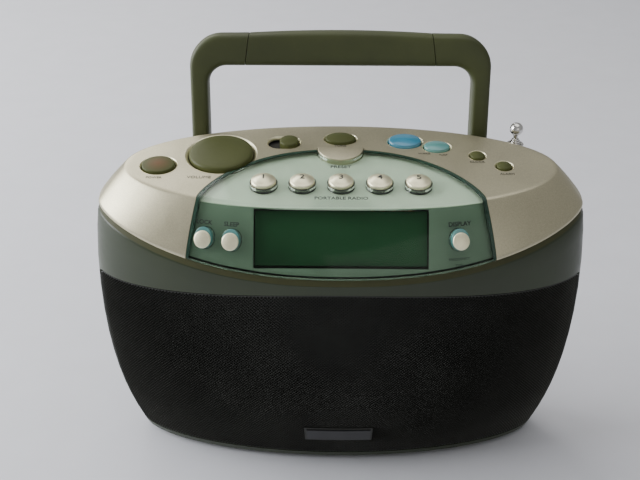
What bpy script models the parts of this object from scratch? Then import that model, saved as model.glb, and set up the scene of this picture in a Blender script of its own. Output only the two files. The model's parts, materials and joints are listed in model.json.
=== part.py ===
"""Tabletop radio with a tilted control panel, a carrying handle and a telescopic antenna.

Metres, +Z up. The front faces -Y and the feet stand on z = 0. The origin is the middle of
the whole object's footprint. Depths (y) are given from TIP_Y, the plane through the two ends
of the rim where the silver top meets the cabinet. Run it with blender --background --python.
"""
import math

import bmesh
import bpy
from mathutils import Matrix, Vector

MM = 0.001
GAP = 0.3 * MM                  # what neighbouring pieces keep between them

# Cabinet ------------------------------------------------------------------------------
TIP_Y = -10.7 * MM              # plane through the ends of the rim
RIM_HALF_WIDTH = 107.3 * MM
RIM_TUCK = 4.2 * MM             # the ends of the rim come in by this much
RIM_TUCK_POWER = 5.7            # how late the wall starts to come in below the rim
HALF_WIDTH = RIM_HALF_WIDTH + RIM_TUCK
BASE_HALF_WIDTH = 95.0 * MM
FRONT_BULGE = 42.0 * MM         # how far the rim swells forward of TIP_Y
BASE_FRONT_BULGE = 28.0 * MM
REAR_BULGE = 39.5 * MM
BASE_REAR_BULGE = 33.0 * MM
FRONT_POWER = 0.57              # 0.5 would be an ellipse, more is a sharper nose
FLARE_POWER = 3.8               # how late the wall turns inwards towards the base
BASE_Z = 1.5 * MM               # underside of the cabinet, above the feet
EDGE_ROUND = 1.2 * MM
WALL = 2.2 * MM
SIDE_STEPS = 20                 # points along half of the oval

# Silver top ---------------------------------------------------------------------------
TOP_Z = 140.0 * MM              # height of the flat at TOP_MIDDLE
TOP_MIDDLE = 6.0 * MM           # depth of the flat's middle
TOP_RISE = 0.14                 # the flat climbs towards the back by this slope
TOP_HALF_WIDTH = 95.0 * MM
TOP_FRONT = 34.0 * MM
TOP_REAR = 32.0 * MM
CREASE_FLAT = 2.5 * MM          # the crease's nose lies this much behind an ellipse's
CREASE_FLAT_POWER = 6           # how quickly that fades towards the sides
RIM_END_Z = 125.0 * MM
RIM_DIP = 16.0 * MM             # the rim's middle front is this much lower than its ends
RIM_DIP_POWER = 2.6             # above 2 the rim stays low further out to the sides
RIM_REAR_DROP = 4.0 * MM        # the rim's middle rear is this much below the flat's edge
RIM_LIP = 1.0 * MM
PANEL = 2.0 * MM

# Window, display and grille -----------------------------------------------------------
WINDOW_HALF_WIDTH = 61.3 * MM
WINDOW_CORNER = -20.7 * MM      # depth of the window's two upper corners
WINDOW_APEX = 17.9 * MM
WINDOW_FOOT_HALF_WIDTH = 65.5 * MM
WINDOW_FOOT = -32.0 * MM
DISPLAY_SINK = 4.2 * MM         # the plate behind the window lies this deep
PLATE = 1.2 * MM
LCD_HALF_WIDTH = 36.7 * MM
LCD_TOP_Z = 134.9 * MM
LCD_FOOT_Z = 114.1 * MM
GRILLE_MIDDLE_DROP = 7.5 * MM   # below the rim
GRILLE_END_DROP = 32.0 * MM
GRILLE_HALF_WIDTH = 108.4 * MM
GRILLE_FOOT_Z = 6.0 * MM
GRILLE_SIDE = -3.8 * MM         # the grille wraps round to this depth
GRILLE = 1.4 * MM

# Controls on the flat: name, x, depth, half width, half depth, height above the flat -----
VOLUME_KNOB = (-53.4 * MM, 13.5 * MM, 14.4 * MM, 1.6 * MM)
TOP_BUTTONS = (
    ("power_button", -80.2 * MM, 4.0 * MM, 7.4 * MM, 6.6 * MM, 1.4 * MM),
    ("tone_button", 0.0, 26.6 * MM, 6.9 * MM, 4.6 * MM, 1.4 * MM),
    ("wake_button", 29.4 * MM, 24.6 * MM, 7.4 * MM, 5.4 * MM, 1.6 * MM),
    ("nap_button", 43.6 * MM, 20.2 * MM, 5.8 * MM, 4.2 * MM, 1.4 * MM),
    ("clock_button", 61.1 * MM, 13.2 * MM, 3.2 * MM, 3.2 * MM, 1.2 * MM),
    ("alarm_button", 71.9 * MM, 4.9 * MM, 3.3 * MM, 3.3 * MM, 1.2 * MM),
)
PRESET_COUNT = 5
PRESET_SPACING = 16.65 * MM
PRESET_DEPTH = -8.9 * MM
PRESET_RADIUS = 5.7 * MM
PRESET_RISE = 2.4 * MM
BUTTON_REACH = 6.0 * MM         # how far a button goes below the flat
BUTTON_SIDES = 16
SWITCH = (-23.2 * MM, 23.3 * MM, 4.4 * MM, 1.8 * MM)
SWITCH_TRAVEL = 4.6 * MM
TAB_RADIUS = 10.4 * MM
TAB_RISE = 0.8 * MM
SLOPE_BUTTONS = (
    ("lock_button", -57.4 * MM, 122.4 * MM),
    ("sleep_button", -45.8 * MM, 122.4 * MM),
    ("display_button", 49.4 * MM, 122.8 * MM),
)
SLOPE_BUTTON_HALF = (3.7 * MM, 4.6 * MM)
SLOPE_BUTTON_RISE = 3.0 * MM

# Handle -------------------------------------------------------------------------------
PIVOT = (46.5 * MM, 120.0 * MM)     # depth and height of the handle's axis
HANDLE_LEAN = math.radians(10.0)    # it rests this far back from upright
HANDLE_OUTER = 70.4 * MM
ARM_WIDTH = 8.5 * MM
HANDLE_REACH = 63.6 * MM            # from the axis to the ends of the bar's top
BAR_CROWN = 1.4 * MM
BAR_HEIGHT = 14.5 * MM
HANDLE_DEPTH = 12.0 * MM
HANDLE_OUTER_CORNER = 15.0 * MM
HANDLE_INNER_CORNER = 9.0 * MM
SEAM_TOP = 42.3 * MM
SEAM_FOOT = 44.4 * MM
LUG_INNER = 53.0 * MM
LUG_OUTER = 61.4 * MM
LUG_RADIUS = 7.5 * MM
PIN_RADIUS = 2.5 * MM
BORE_RADIUS = 2.62 * MM

# Antenna ------------------------------------------------------------------------------
ANTENNA = (81.4 * MM, 33.0 * MM, 42.0 * MM)     # x, depth and height of its elbow
ANTENNA_TUBE_FOOT = 4.5 * MM                    # above the elbow
ANTENNA_TUBE_TOP = 96.5 * MM
ANTENNA_OUTER_RADIUS = 3.3 * MM
ANTENNA_STEP = 0.55 * MM                        # each section is this much thinner
ANTENNA_WALL = 0.42 * MM
ANTENNA_SECTIONS = 5
BALL_RADIUS = 3.1 * MM
BALL_HEIGHT = 103.6 * MM                        # above the elbow

# Battery bay --------------------------------------------------------------------------
CELL_RADIUS = 13.0 * MM
CELL_LENGTH = 49.0 * MM
BAY_LOW = (-52.3 * MM, 0.3 * MM, 8.2 * MM)      # x, depth, height
BAY_HIGH = (52.3 * MM, 25.5 * MM, 62.0 * MM)
BAY_WALL = 1.4 * MM
DOOR_HALF_WIDTH = 50.0 * MM
DOOR_FOOT = 9.0 * MM
DOOR_TOP = 61.0 * MM

# Feet and badge -----------------------------------------------------------------------
FOOT_RADIUS = 6.0 * MM
FEET = ((-62 * MM, -9 * MM), (62 * MM, -9 * MM), (-62 * MM, 13 * MM), (62 * MM, 13 * MM))   # x, depth
BADGE_LOW = (-15.5 * MM, -60 * MM, 18.2 * MM)
BADGE_HIGH = (15.5 * MM, -10 * MM, 25.6 * MM)
BADGE = 1.0 * MM

# Speaker ------------------------------------------------------------------------------
SPEAKER_Z = 62.0 * MM
SPEAKER_RADIUS = 38.5 * MM
CONE_RADIUS = 33.0 * MM
BAFFLE_DEPTH = -30.0 * MM
BAFFLE = 2.5 * MM

OLIVE = (0.045, 0.050, 0.020)
DARK_OLIVE = (0.030, 0.035, 0.014)
SILVER = (0.50, 0.47, 0.40)
BLACK = (0.012, 0.012, 0.012)
MINT = (0.10, 0.30, 0.22)
STEEL = (0.55, 0.55, 0.56)
BOARD = (0.03, 0.12, 0.05)

model = bpy.data.collections.new("tabletop_radio")
tools = bpy.data.collections.new("cutters")


# Scene and object helpers -------------------------------------------------------------
def clear_scene():
    for item in list(bpy.data.objects):
        bpy.data.objects.remove(item)
    bpy.context.scene.collection.children.link(model)
    bpy.context.scene.collection.children.link(tools)


def material(name, colour, roughness=0.5, metallic=0.0, alpha=1.0):
    made = bpy.data.materials.new(name)
    made.use_nodes = True
    shader = made.node_tree.nodes["Principled BSDF"]
    shader.inputs["Base Color"].default_value = (*colour, 1.0)
    shader.inputs["Roughness"].default_value = roughness
    shader.inputs["Metallic"].default_value = metallic
    shader.inputs["Alpha"].default_value = alpha
    return made


def add_object(name, mesh, colour=OLIVE, roughness=0.5, metallic=0.0, alpha=1.0):
    piece = bpy.data.objects.new(name, mesh)
    model.objects.link(piece)
    mesh.materials.append(material(name, colour, roughness, metallic, alpha))
    mesh.shade_smooth()
    mesh.set_sharp_from_angle(angle=math.radians(35))
    return piece


def add_cutter(name, mesh):
    cutter = bpy.data.objects.new(name, mesh)
    tools.objects.link(cutter)
    cutter.hide_render = True
    cutter.display_type = "WIRE"
    return cutter


def mesh_from(bm, name):
    mesh = bpy.data.meshes.new(name)
    bm.to_mesh(mesh)
    bm.free()
    return mesh


def boolean(piece, cutter, operation="DIFFERENCE"):
    step = piece.modifiers.new(cutter.name, "BOOLEAN")
    step.operation = operation
    step.object = cutter
    return step


def solidify(piece, thickness):
    step = piece.modifiers.new("wall", "SOLIDIFY")
    step.thickness = thickness
    step.offset = -1.0
    step.use_even_offset = True
    return step


def bevel(piece, width, segments=2, angle=40.0):
    step = piece.modifiers.new("edges", "BEVEL")
    step.width = width
    step.segments = segments
    step.limit_method = "ANGLE"
    step.angle_limit = math.radians(angle)
    return step


# Primitive meshes -----------------------------------------------------------------------
def box_mesh(name, low, high):
    bm = bmesh.new()
    size = [b - a for a, b in zip(low, high)]
    middle = Vector([(a + b) / 2 for a, b in zip(low, high)])
    stretch = Matrix.Diagonal((*size, 1.0))
    bmesh.ops.create_cube(bm, size=1.0, matrix=Matrix.Translation(middle) @ stretch)
    return mesh_from(bm, name)


def cylinder_mesh(name, radius, low, high, segments=24, stretch=(1.0, 1.0)):
    """A cylinder along its own Z, from low to high."""
    bm = bmesh.new()
    place = Matrix.Translation((0, 0, (low + high) / 2)) @ Matrix.Diagonal((*stretch, 1.0, 1.0))
    bmesh.ops.create_cone(bm, cap_ends=True, segments=segments, radius1=radius,
                          radius2=radius, depth=high - low, matrix=place)
    return mesh_from(bm, name)


def outline_mesh(name, outline, thickness):
    """A flat outline in XY, given a thickness centred on z = 0."""
    curve = bpy.data.curves.new(name, "CURVE")
    curve.dimensions = "2D"
    curve.fill_mode = "BOTH"
    curve.extrude = thickness / 2
    spline = curve.splines.new("POLY")
    spline.points.add(len(outline) - 1)
    for point, (x, y) in zip(spline.points, outline):
        point.co = (x, y, 0.0, 1.0)
    spline.use_cyclic_u = True
    holder = bpy.data.objects.new(name, curve)
    bpy.context.scene.collection.objects.link(holder)
    graph = bpy.context.evaluated_depsgraph_get()
    mesh = bpy.data.meshes.new_from_object(holder.evaluated_get(graph))
    bpy.data.objects.remove(holder)
    bm = bmesh.new()
    bm.from_mesh(mesh)
    bmesh.ops.remove_doubles(bm, verts=bm.verts, dist=0.01 * MM)
    bmesh.ops.recalc_face_normals(bm, faces=bm.faces)
    bmesh.ops.dissolve_limit(bm, angle_limit=0.002, verts=bm.verts, edges=bm.edges)
    bm.to_mesh(mesh)
    bm.free()
    return mesh


def turned(name, profile, steps=32, closed=False, **look):
    """A profile of (radius, height) points, top to bottom, spun about its own Z."""
    mesh = bpy.data.meshes.new(name)
    points = [(radius, 0.0, height) for radius, height in profile]
    edges = [(i, i + 1) for i in range(len(points) - 1)]
    if closed:
        edges.append((len(points) - 1, 0))
    mesh.from_pydata(points, edges, [])
    piece = add_object(name, mesh, **look)
    step = piece.modifiers.new("turn", "SCREW")
    step.steps = steps
    step.render_steps = steps
    step.use_merge_vertices = True
    step.merge_threshold = 0.00001
    return piece


def arc(centre, radius, start, end, steps):
    """Points on an arc, in degrees, both ends included."""
    points = []
    for i in range(steps + 1):
        angle = math.radians(start + (end - start) * i / steps)
        points.append((centre[0] + radius * math.cos(angle), centre[1] + radius * math.sin(angle)))
    return points


# The cabinet's form ---------------------------------------------------------------------
def rim_z(u, front):
    """Height of the rim at u, which runs from -1 to 1 across the width."""
    if front:
        return RIM_END_Z - RIM_DIP * (1 - abs(u) ** RIM_DIP_POWER)
    rear_z = TOP_Z + TOP_RISE * TOP_REAR - RIM_REAR_DROP
    return RIM_END_Z + (rear_z - RIM_END_Z) * math.sqrt(max(0.0, 1 - u * u))


def oval(half_width, front_bulge, rear_bulge, heights, front_power=FRONT_POWER):
    """A ring round the cabinet; heights(u, front) gives each point's z."""
    ring = []
    for i in range(2 * SIDE_STEPS):
        front = i < SIDE_STEPS
        t = math.pi * (i / SIDE_STEPS - 0.5) if front else math.pi * (1.5 - i / SIDE_STEPS)
        u = math.sin(t)
        swell = max(0.0, 1 - u * u)
        if front:
            y = -front_bulge * swell ** front_power
        else:
            y = rear_bulge * swell ** 0.5
        ring.append(Vector((half_width * u, TIP_Y + y, heights(u, front))))
    return ring


def wall_ring(share, inset=0.0, z_drop=0.0):
    """The cabinet's outline at a share of the way from the base (0) to the rim (1)."""
    turn_in = (1 - share) ** FLARE_POWER
    tuck = RIM_TUCK * share ** RIM_TUCK_POWER
    half_width = HALF_WIDTH - (HALF_WIDTH - BASE_HALF_WIDTH) * turn_in - tuck
    front = FRONT_BULGE - (FRONT_BULGE - BASE_FRONT_BULGE) * turn_in
    rear = REAR_BULGE - (REAR_BULGE - BASE_REAR_BULGE) * turn_in

    def height(u, is_front):
        return BASE_Z + share * (rim_z(u, is_front) - BASE_Z) - z_drop

    return oval(half_width - inset, front - inset, rear - inset, height)


def top_height(y):
    return TOP_Z + TOP_RISE * (y - TIP_Y - TOP_MIDDLE)


def crease_setback(u):
    """How far the front of the crease lies behind an ellipse, u running from -1 to 1."""
    return CREASE_FLAT * max(0.0, 1 - u * u) ** CREASE_FLAT_POWER


def crease_ring(scale=1.0):
    """The edge of the flat, or a smaller copy of it on the flat."""
    ring = oval(TOP_HALF_WIDTH * scale, TOP_FRONT * scale, TOP_REAR * scale, lambda u, f: 0.0, 0.5)
    for point in ring:
        if point.y < TIP_Y:
            point.y += crease_setback(point.x / (TOP_HALF_WIDTH * scale)) * scale
        point.y += TOP_MIDDLE
        point.z = top_height(point.y)
    return ring


def lip_ring(rise):
    return oval(RIM_HALF_WIDTH, FRONT_BULGE, REAR_BULGE, lambda u, front: rim_z(u, front) + rise)


def mixed(first, second, share):
    return [a.lerp(b, share) for a, b in zip(first, second)]


def loft_mesh(name, rings, cap_first=False, cap_last=False):
    """Quads between rings that have the same number of points, outwards from the first."""
    bm = bmesh.new()
    rows = [[bm.verts.new(point) for point in ring] for ring in rings]
    count = len(rings[0])
    for upper, lower in zip(rows, rows[1:]):
        for i in range(count):
            j = (i + 1) % count
            bm.faces.new((upper[i], lower[i], lower[j], upper[j]))
    if cap_first:
        bm.faces.new(rows[0])
    if cap_last:
        bm.faces.new(reversed(rows[-1]))
    return mesh_from(bm, name)


def top_rings():
    """Rings of the silver top: the flat's edge, the rounded crease, the slope and the lip."""
    crease = crease_ring()
    lip = lip_ring(RIM_LIP)
    rings = [crease_ring(0.965)]
    softened = mixed(mixed(crease_ring(0.965), crease, 0.8), mixed(crease, lip, 0.03), 0.5)
    rings.append(softened)
    for share in (0.07, 0.38, 0.7, 1.0):
        rings.append(mixed(crease, lip, share))
    rings.append(lip_ring(0.0))
    return rings


def top_skin(name):
    return loft_mesh(name, top_rings(), cap_first=True)


def cabinet_skin(name):
    rings = [wall_ring(1.0, z_drop=GAP)]
    rings += [wall_ring(share) for share in (0.91, 0.8, 0.6, 0.42, 0.28, 0.17, 0.08)]
    rings += [wall_ring(0.01), wall_ring(0.0, inset=EDGE_ROUND)]
    return loft_mesh(name, rings, cap_last=True)


# Frames for placing parts -----------------------------------------------------------------
TOP_TURN = Matrix.Rotation(math.atan(TOP_RISE), 4, "X")


def on_top(x, depth, sink=0.0):
    """A frame on the flat, its Z along the flat's normal."""
    y = TIP_Y + depth
    place = Matrix.Translation((x, y, top_height(y)))
    return place @ TOP_TURN @ Matrix.Translation((0, 0, -sink))


def slope_point(x, z):
    """The point on the front slope at x and z, and the outward normal there."""
    def at(u, share):
        root = math.sqrt(max(0.0, 1 - u * u))
        crease_y = TIP_Y + TOP_MIDDLE - TOP_FRONT * root + crease_setback(u)
        top = Vector((TOP_HALF_WIDTH * u, crease_y, top_height(crease_y)))
        rim_y = TIP_Y - FRONT_BULGE * (1 - u * u) ** FRONT_POWER
        foot = Vector((RIM_HALF_WIDTH * u, rim_y, rim_z(u, True) + RIM_LIP))
        return top.lerp(foot, share)

    u, share = x / TOP_HALF_WIDTH, 0.5
    for _ in range(30):
        point = at(u, share)
        u += (x - point.x) / HALF_WIDTH
        share += (point.z - z) / (26 * MM)
    point = at(u, share)
    across = at(u + 0.01, share) - at(u - 0.01, share)
    down = at(u, share + 0.02) - at(u, share - 0.02)
    return point, down.cross(across).normalized()


def on_slope(x, z, sink=0.0):
    """A frame on the slope: its Z along the normal, its X level."""
    point, normal = slope_point(x, z)
    level = Vector((0, 0, 1)).cross(normal).normalized()
    turn = Matrix((level, normal.cross(level), normal)).transposed().to_4x4()
    return Matrix.Translation(point) @ turn @ Matrix.Translation((0, 0, -sink))


# Outlines -------------------------------------------------------------------------------
def window_outline(margin=0.0):
    """The window seen from above: an arch over the flat, open towards the front."""
    half = WINDOW_HALF_WIDTH - margin
    rise = WINDOW_APEX - WINDOW_CORNER
    corner = TIP_Y + WINDOW_CORNER
    arch = []
    steps = 20
    for i in range(steps + 1):
        share = math.sin(math.pi * (i / steps - 0.5))
        height = (1 - abs(share) ** 2.3) ** 0.7
        arch.append((half * share, corner + rise * height - margin))
    foot = WINDOW_FOOT_HALF_WIDTH - margin
    foot_y = TIP_Y + WINDOW_FOOT
    flare = foot + (WINDOW_FOOT_HALF_WIDTH - WINDOW_HALF_WIDTH)
    front = foot_y + WINDOW_FOOT - WINDOW_CORNER
    return arch + [(foot, foot_y), (flare, front), (flare, TIP_Y - 80 * MM),
                   (-flare, TIP_Y - 80 * MM), (-flare, front), (-foot, foot_y)]


def grille_outline(margin=0.0):
    """The grille seen from the front, wider than the cabinet on purpose."""
    steps = 16
    reach = 116 * MM
    top = []
    for i in range(steps + 1):
        x = reach * (1 - 2 * i / steps)
        u = min(1.0, abs(x) / GRILLE_HALF_WIDTH)
        drop = GRILLE_MIDDLE_DROP + (GRILLE_END_DROP - GRILLE_MIDDLE_DROP) * u * u
        top.append((x, rim_z(u, True) - drop - margin))
    foot = GRILLE_FOOT_Z + margin
    return [(-reach, foot), (reach, foot)] + top


def front_prism(name, outline, near, far):
    """An outline in XZ, extruded along Y between two depths."""
    mesh = outline_mesh(name, outline, far - near)
    place = Matrix.Translation((0, TIP_Y + (near + far) / 2, 0))
    mesh.transform(place @ Matrix.Rotation(math.radians(90), 4, "X"))
    return add_cutter(name, mesh)


def window_prism(name, margin):
    mesh = outline_mesh(name, window_outline(margin), 120 * MM)
    mesh.transform(Matrix.Translation((0, 0, 125 * MM)))
    return add_cutter(name, mesh)


def hole(name, frame, half_x, half_y=None, low=-12 * MM, high=12 * MM, segments=32):
    """A round or oval cutter through a wall, in a frame of its own."""
    half_y = half_x if half_y is None else half_y
    mesh = cylinder_mesh(name, 1.0, low, high, segments, (half_x, half_y))
    mesh.transform(frame)
    return add_cutter(name, mesh)


def block(name, low, high):
    """A box cutter, its y given as a depth."""
    low = (low[0], TIP_Y + low[1], low[2])
    high = (high[0], TIP_Y + high[1], high[2])
    return add_cutter(name, box_mesh(name, low, high))


def depth_box(name, low, high, **look):
    """A box piece, its y given as a depth."""
    low = (low[0], TIP_Y + low[1], low[2])
    high = (high[0], TIP_Y + high[1], high[2])
    return add_object(name, box_mesh(name, low, high), **look)


# Buttons ----------------------------------------------------------------------------------
def make_button(name, frame, half_x, half_y, rise, reach=BUTTON_REACH, dome=0.8 * MM, **look):
    """An oval key with a softly domed top, its origin on its line of travel."""
    bm = bmesh.new()
    depth = rise - dome + reach
    place = Matrix.Translation((0, 0, (rise - dome - reach) / 2))
    bmesh.ops.create_cone(bm, cap_ends=True, segments=BUTTON_SIDES, radius1=1.0, radius2=1.0, depth=depth,
                          matrix=place @ Matrix.Diagonal((half_x, half_y, 1.0, 1.0)))
    top = max(bm.faces, key=lambda face: face.calc_center_median().z)
    for shrink, lift in ((0.84, 0.7), (0.6, 0.3)):
        top = bmesh.ops.extrude_discrete_faces(bm, faces=[top])["faces"][0]
        bmesh.ops.scale(bm, vec=(shrink, shrink, 1.0), verts=top.verts)
        bmesh.ops.translate(bm, vec=(0, 0, dome * lift), verts=top.verts)
    bmesh.ops.remove_doubles(bm, verts=bm.verts, dist=0.001 * MM)
    piece = add_object(name, mesh_from(bm, name), **look)
    piece.matrix_world = frame
    return piece


def preset_x(number):
    return (number - (PRESET_COUNT + 1) / 2) * PRESET_SPACING


def make_controls():
    x, depth, radius, rise = VOLUME_KNOB
    profile = [(0.0, rise + 0.5 * MM), (radius * 0.55, rise + 0.35 * MM), (radius - 1.4 * MM, rise),
               (radius - 0.4 * MM, rise - 0.5 * MM), (radius, rise - 1.3 * MM),
               (radius, -3.2 * MM), (3.0 * MM, -3.2 * MM), (3.0 * MM, -5.2 * MM), (0.0, -5.2 * MM)]
    knob = turned("volume_knob", profile, 32, colour=OLIVE, roughness=0.35)
    knob.matrix_world = on_top(x, depth)
    for name, x, depth, half_x, half_y, rise in TOP_BUTTONS:
        make_button(name, on_top(x, depth), half_x, half_y, rise, colour=OLIVE, roughness=0.4)
    for number in range(1, PRESET_COUNT + 1):
        make_button(f"preset_button_{number}", on_top(preset_x(number), PRESET_DEPTH),
                    PRESET_RADIUS, PRESET_RADIUS, PRESET_RISE, dome=1.8 * MM,
                    colour=SILVER, roughness=0.3, metallic=0.5)
    x, depth, radius, rise = SWITCH
    make_button("slide_switch", on_top(x, depth), radius, radius, rise, reach=4.5 * MM,
                colour=OLIVE, roughness=0.4)
    for name, x, z in SLOPE_BUTTONS:
        make_button(name, on_slope(x, z), *SLOPE_BUTTON_HALF, SLOPE_BUTTON_RISE,
                    reach=5.0 * MM, colour=SILVER, roughness=0.3, metallic=0.5)
    make_tab()


def tab_outline(margin=0.0):
    """A half disc, its straight side to the rear."""
    flat = WINDOW_APEX + 0.8 * MM - margin
    return arc((0.0, flat), TAB_RADIUS - margin, 180, 360, 20)


def make_tab():
    """The half-round key at the window's apex."""
    frame = on_top(0.0, 0.0)
    height = TAB_RISE + BUTTON_REACH
    mesh = outline_mesh("select_tab", tab_outline(), height)
    mesh.transform(Matrix.Translation((0, 0, TAB_RISE - height / 2)))
    middle = Matrix.Translation((0, -(WINDOW_APEX - 3.5 * MM), 0))
    mesh.transform(middle)
    tab = add_object("select_tab", mesh, colour=SILVER, roughness=0.35, metallic=0.4)
    tab.matrix_world = frame @ middle.inverted()
    bevel(tab, 0.4 * MM, 2)


def control_holes():
    """Cutters for every control, each GAP wider than its key."""
    through_panel = []
    through_window = []
    x, depth, radius, _ = VOLUME_KNOB
    through_panel.append(hole("knob_hole", on_top(x, depth), radius + GAP, segments=32))
    for name, x, depth, half_x, half_y, _ in TOP_BUTTONS:
        frame = on_top(x, depth)
        through_panel.append(hole(name + "_hole", frame, half_x + GAP, half_y + GAP, segments=BUTTON_SIDES))
    x, depth, radius, _ = SWITCH
    frame = on_top(x, depth)
    reach = radius + GAP
    slot = arc((0, 0), reach, -90, 90, 12) + arc((-SWITCH_TRAVEL - GAP, 0), reach, 90, 270, 12)
    mesh = outline_mesh("switch_slot", slot, 24 * MM)
    mesh.transform(frame)
    through_panel.append(add_cutter("switch_slot", mesh))
    for number in range(1, PRESET_COUNT + 1):
        frame = on_top(preset_x(number), PRESET_DEPTH)
        name = f"preset_hole_{number}"
        through_window.append(hole(name, frame, PRESET_RADIUS + GAP, segments=BUTTON_SIDES))
    for name, x, z in SLOPE_BUTTONS:
        half_x, half_y = SLOPE_BUTTON_HALF
        frame = on_slope(x, z)
        through_window.append(hole(name + "_hole", frame, half_x + GAP, half_y + GAP, segments=BUTTON_SIDES))
    mesh = outline_mesh("tab_hole", tab_outline(-GAP), 24 * MM)
    mesh.transform(on_top(0.0, 0.0))
    tab_hole = add_cutter("tab_hole", mesh)
    return through_panel, through_window, tab_hole


# Top panel, window and display ------------------------------------------------------------
def make_top():
    panel_holes, window_holes, tab_hole = control_holes()
    panel = add_object("top_panel", top_skin("top_panel"), colour=SILVER, roughness=0.38, metallic=0.5)
    solidify(panel, PANEL)
    boolean(panel, window_prism("window_opening", 0.0))
    for cutter in panel_holes + [tab_hole]:
        boolean(panel, cutter)

    window = add_object("display_window", top_skin("display_window"), colour=MINT, roughness=0.1,
                        alpha=0.45)
    solidify(window, PANEL)
    boolean(window, window_prism("window_shape", GAP), "INTERSECT")
    for cutter in window_holes + [tab_hole, panel_holes[0]]:
        boolean(window, cutter)

    plate = add_object("display_plate", sunk_skin("display_plate", DISPLAY_SINK), colour=MINT,
                       roughness=0.5)
    solidify(plate, PLATE)
    boolean(plate, window_prism("plate_shape", -2.0 * MM), "INTERSECT")
    for cutter in window_holes + [tab_hole, panel_holes[0]]:
        boolean(plate, cutter)
    boolean(plate, lcd_cutter("lcd_opening", 14 * MM))
    make_lcd()


def sunk_skin(name, sink):
    """The top's skin moved inwards by sink, cut off a little above the rim."""
    shallow = top_rings()
    middle = Vector((0, TIP_Y + TOP_MIDDLE, TOP_Z - 60 * MM))
    for ring in shallow:
        for point in ring:
            towards = (middle - point).normalized()
            point += towards * sink * 1.15
    return loft_mesh(name, shallow[:-2], cap_first=True)


def lcd_cutter(name, half_depth):
    """A slab that lies in the slope, as wide and tall as the liquid-crystal panel."""
    frame = on_slope(0.0, (LCD_TOP_Z + LCD_FOOT_Z) / 2)
    half_height = (LCD_TOP_Z - LCD_FOOT_Z) / 2 / frame.to_3x3().col[1].z
    low = (-LCD_HALF_WIDTH, -half_height, -half_depth)
    mesh = box_mesh(name, low, [-value for value in low])
    mesh.transform(frame)
    return add_cutter(name, mesh)


def make_lcd():
    frame = on_slope(0.0, (LCD_TOP_Z + LCD_FOOT_Z) / 2)
    half_height = (LCD_TOP_Z - LCD_FOOT_Z) / 2 / frame.to_3x3().col[1].z - GAP
    half_width = LCD_HALF_WIDTH - GAP
    low = (-half_width, -half_height + 1.5 * MM, -11.5 * MM)
    high = (half_width, half_height - 1.0 * MM, -8.0 * MM)
    mesh = box_mesh("lcd_module", low, high)
    mesh.transform(frame)
    add_object("lcd_module", mesh, colour=(0.01, 0.05, 0.02), roughness=0.2)


# Cabinet ----------------------------------------------------------------------------------
def cabinet_half(name, side):
    """One half of the cabinet's shell; side is -1 for the front and 1 for the rear."""
    half = add_object(name, cabinet_skin(name), colour=OLIVE, roughness=0.5)
    solidify(half, WALL)
    far = 120 * MM
    inner = side * GAP / 2
    low, high = (-far, inner) if side < 0 else (inner, far)
    keep = block(name + "_half", (-far, low, -far), (far, high, 2 * far))
    boolean(half, keep, "INTERSECT")
    return half


def make_cabinet():
    front = cabinet_half("front_cabinet", -1)
    boolean(front, front_prism("grille_opening", grille_outline(), -60 * MM, GRILLE_SIDE))

    grille = add_object("speaker_grille", cabinet_skin("speaker_grille"), colour=BLACK, roughness=0.6)
    solidify(grille, GRILLE)
    shape = front_prism("grille_shape", grille_outline(GAP), -60 * MM, GRILLE_SIDE - GAP)
    boolean(grille, shape, "INTERSECT")

    rear = cabinet_half("rear_cabinet", 1)
    boolean(rear, block("door_opening", (-DOOR_HALF_WIDTH, 10 * MM, DOOR_FOOT),
                        (DOOR_HALF_WIDTH, 60 * MM, DOOR_TOP)))
    boolean(rear, block("inlet_opening", (-70.5 * MM, 10 * MM, 24.5 * MM),
                        (-53.5 * MM, 60 * MM, 35.5 * MM)))
    jack_frame = across_y(70 * MM, 30 * MM, 62 * MM)
    boolean(rear, hole("jack_opening", jack_frame, 4.2 * MM, segments=20))
    for side in (-1, 1):
        lug = add_cutter(f"handle_lug_{side}", lug_mesh(side))
        boolean(rear, lug, "UNION")
        pin_frame = Matrix.Translation((side * (LUG_INNER + LUG_OUTER) / 2, TIP_Y + PIVOT[0], PIVOT[1]))
        bore = hole(f"lug_bore_{side}", pin_frame @ Matrix.Rotation(math.radians(90), 4, "Y"),
                    BORE_RADIUS, segments=24)
        boolean(rear, bore)
    x, depth, z = ANTENNA
    boss = hole("antenna_boss", across_y(x, depth, z), 5.5 * MM, low=5.5 * MM, high=12.0 * MM, segments=20)
    boolean(rear, boss, "UNION")


def across_y(x, depth, z):
    """A frame whose Z points towards the front."""
    return Matrix.Translation((x, TIP_Y + depth, z)) @ Matrix.Rotation(math.radians(90), 4, "X")


def lug_mesh(side):
    """An ear on the rear wall, its round end about the handle's axis."""
    depth, z = PIVOT
    outline = arc((depth, z), LUG_RADIUS, -90, 90, 14)
    outline += [(32.2 * MM, z + LUG_RADIUS), (32.2 * MM, z - LUG_RADIUS - 3 * MM)]
    mesh = outline_mesh("handle_lug", outline, LUG_OUTER - LUG_INNER)
    place = Matrix.Translation((side * (LUG_INNER + LUG_OUTER) / 2, TIP_Y, 0))
    stand = Matrix(((0, 0, 1, 0), (1, 0, 0, 0), (0, 1, 0, 0), (0, 0, 0, 1)))
    mesh.transform(place @ stand)
    return mesh


def make_battery_door():
    door = add_object("battery_door", cabinet_skin("battery_door"), colour=OLIVE, roughness=0.5)
    solidify(door, WALL)
    keep = block("door_shape", (-DOOR_HALF_WIDTH + GAP, 10 * MM, DOOR_FOOT + GAP),
                 (DOOR_HALF_WIDTH - GAP, 60 * MM, DOOR_TOP - GAP))
    boolean(door, keep, "INTERSECT")


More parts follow.
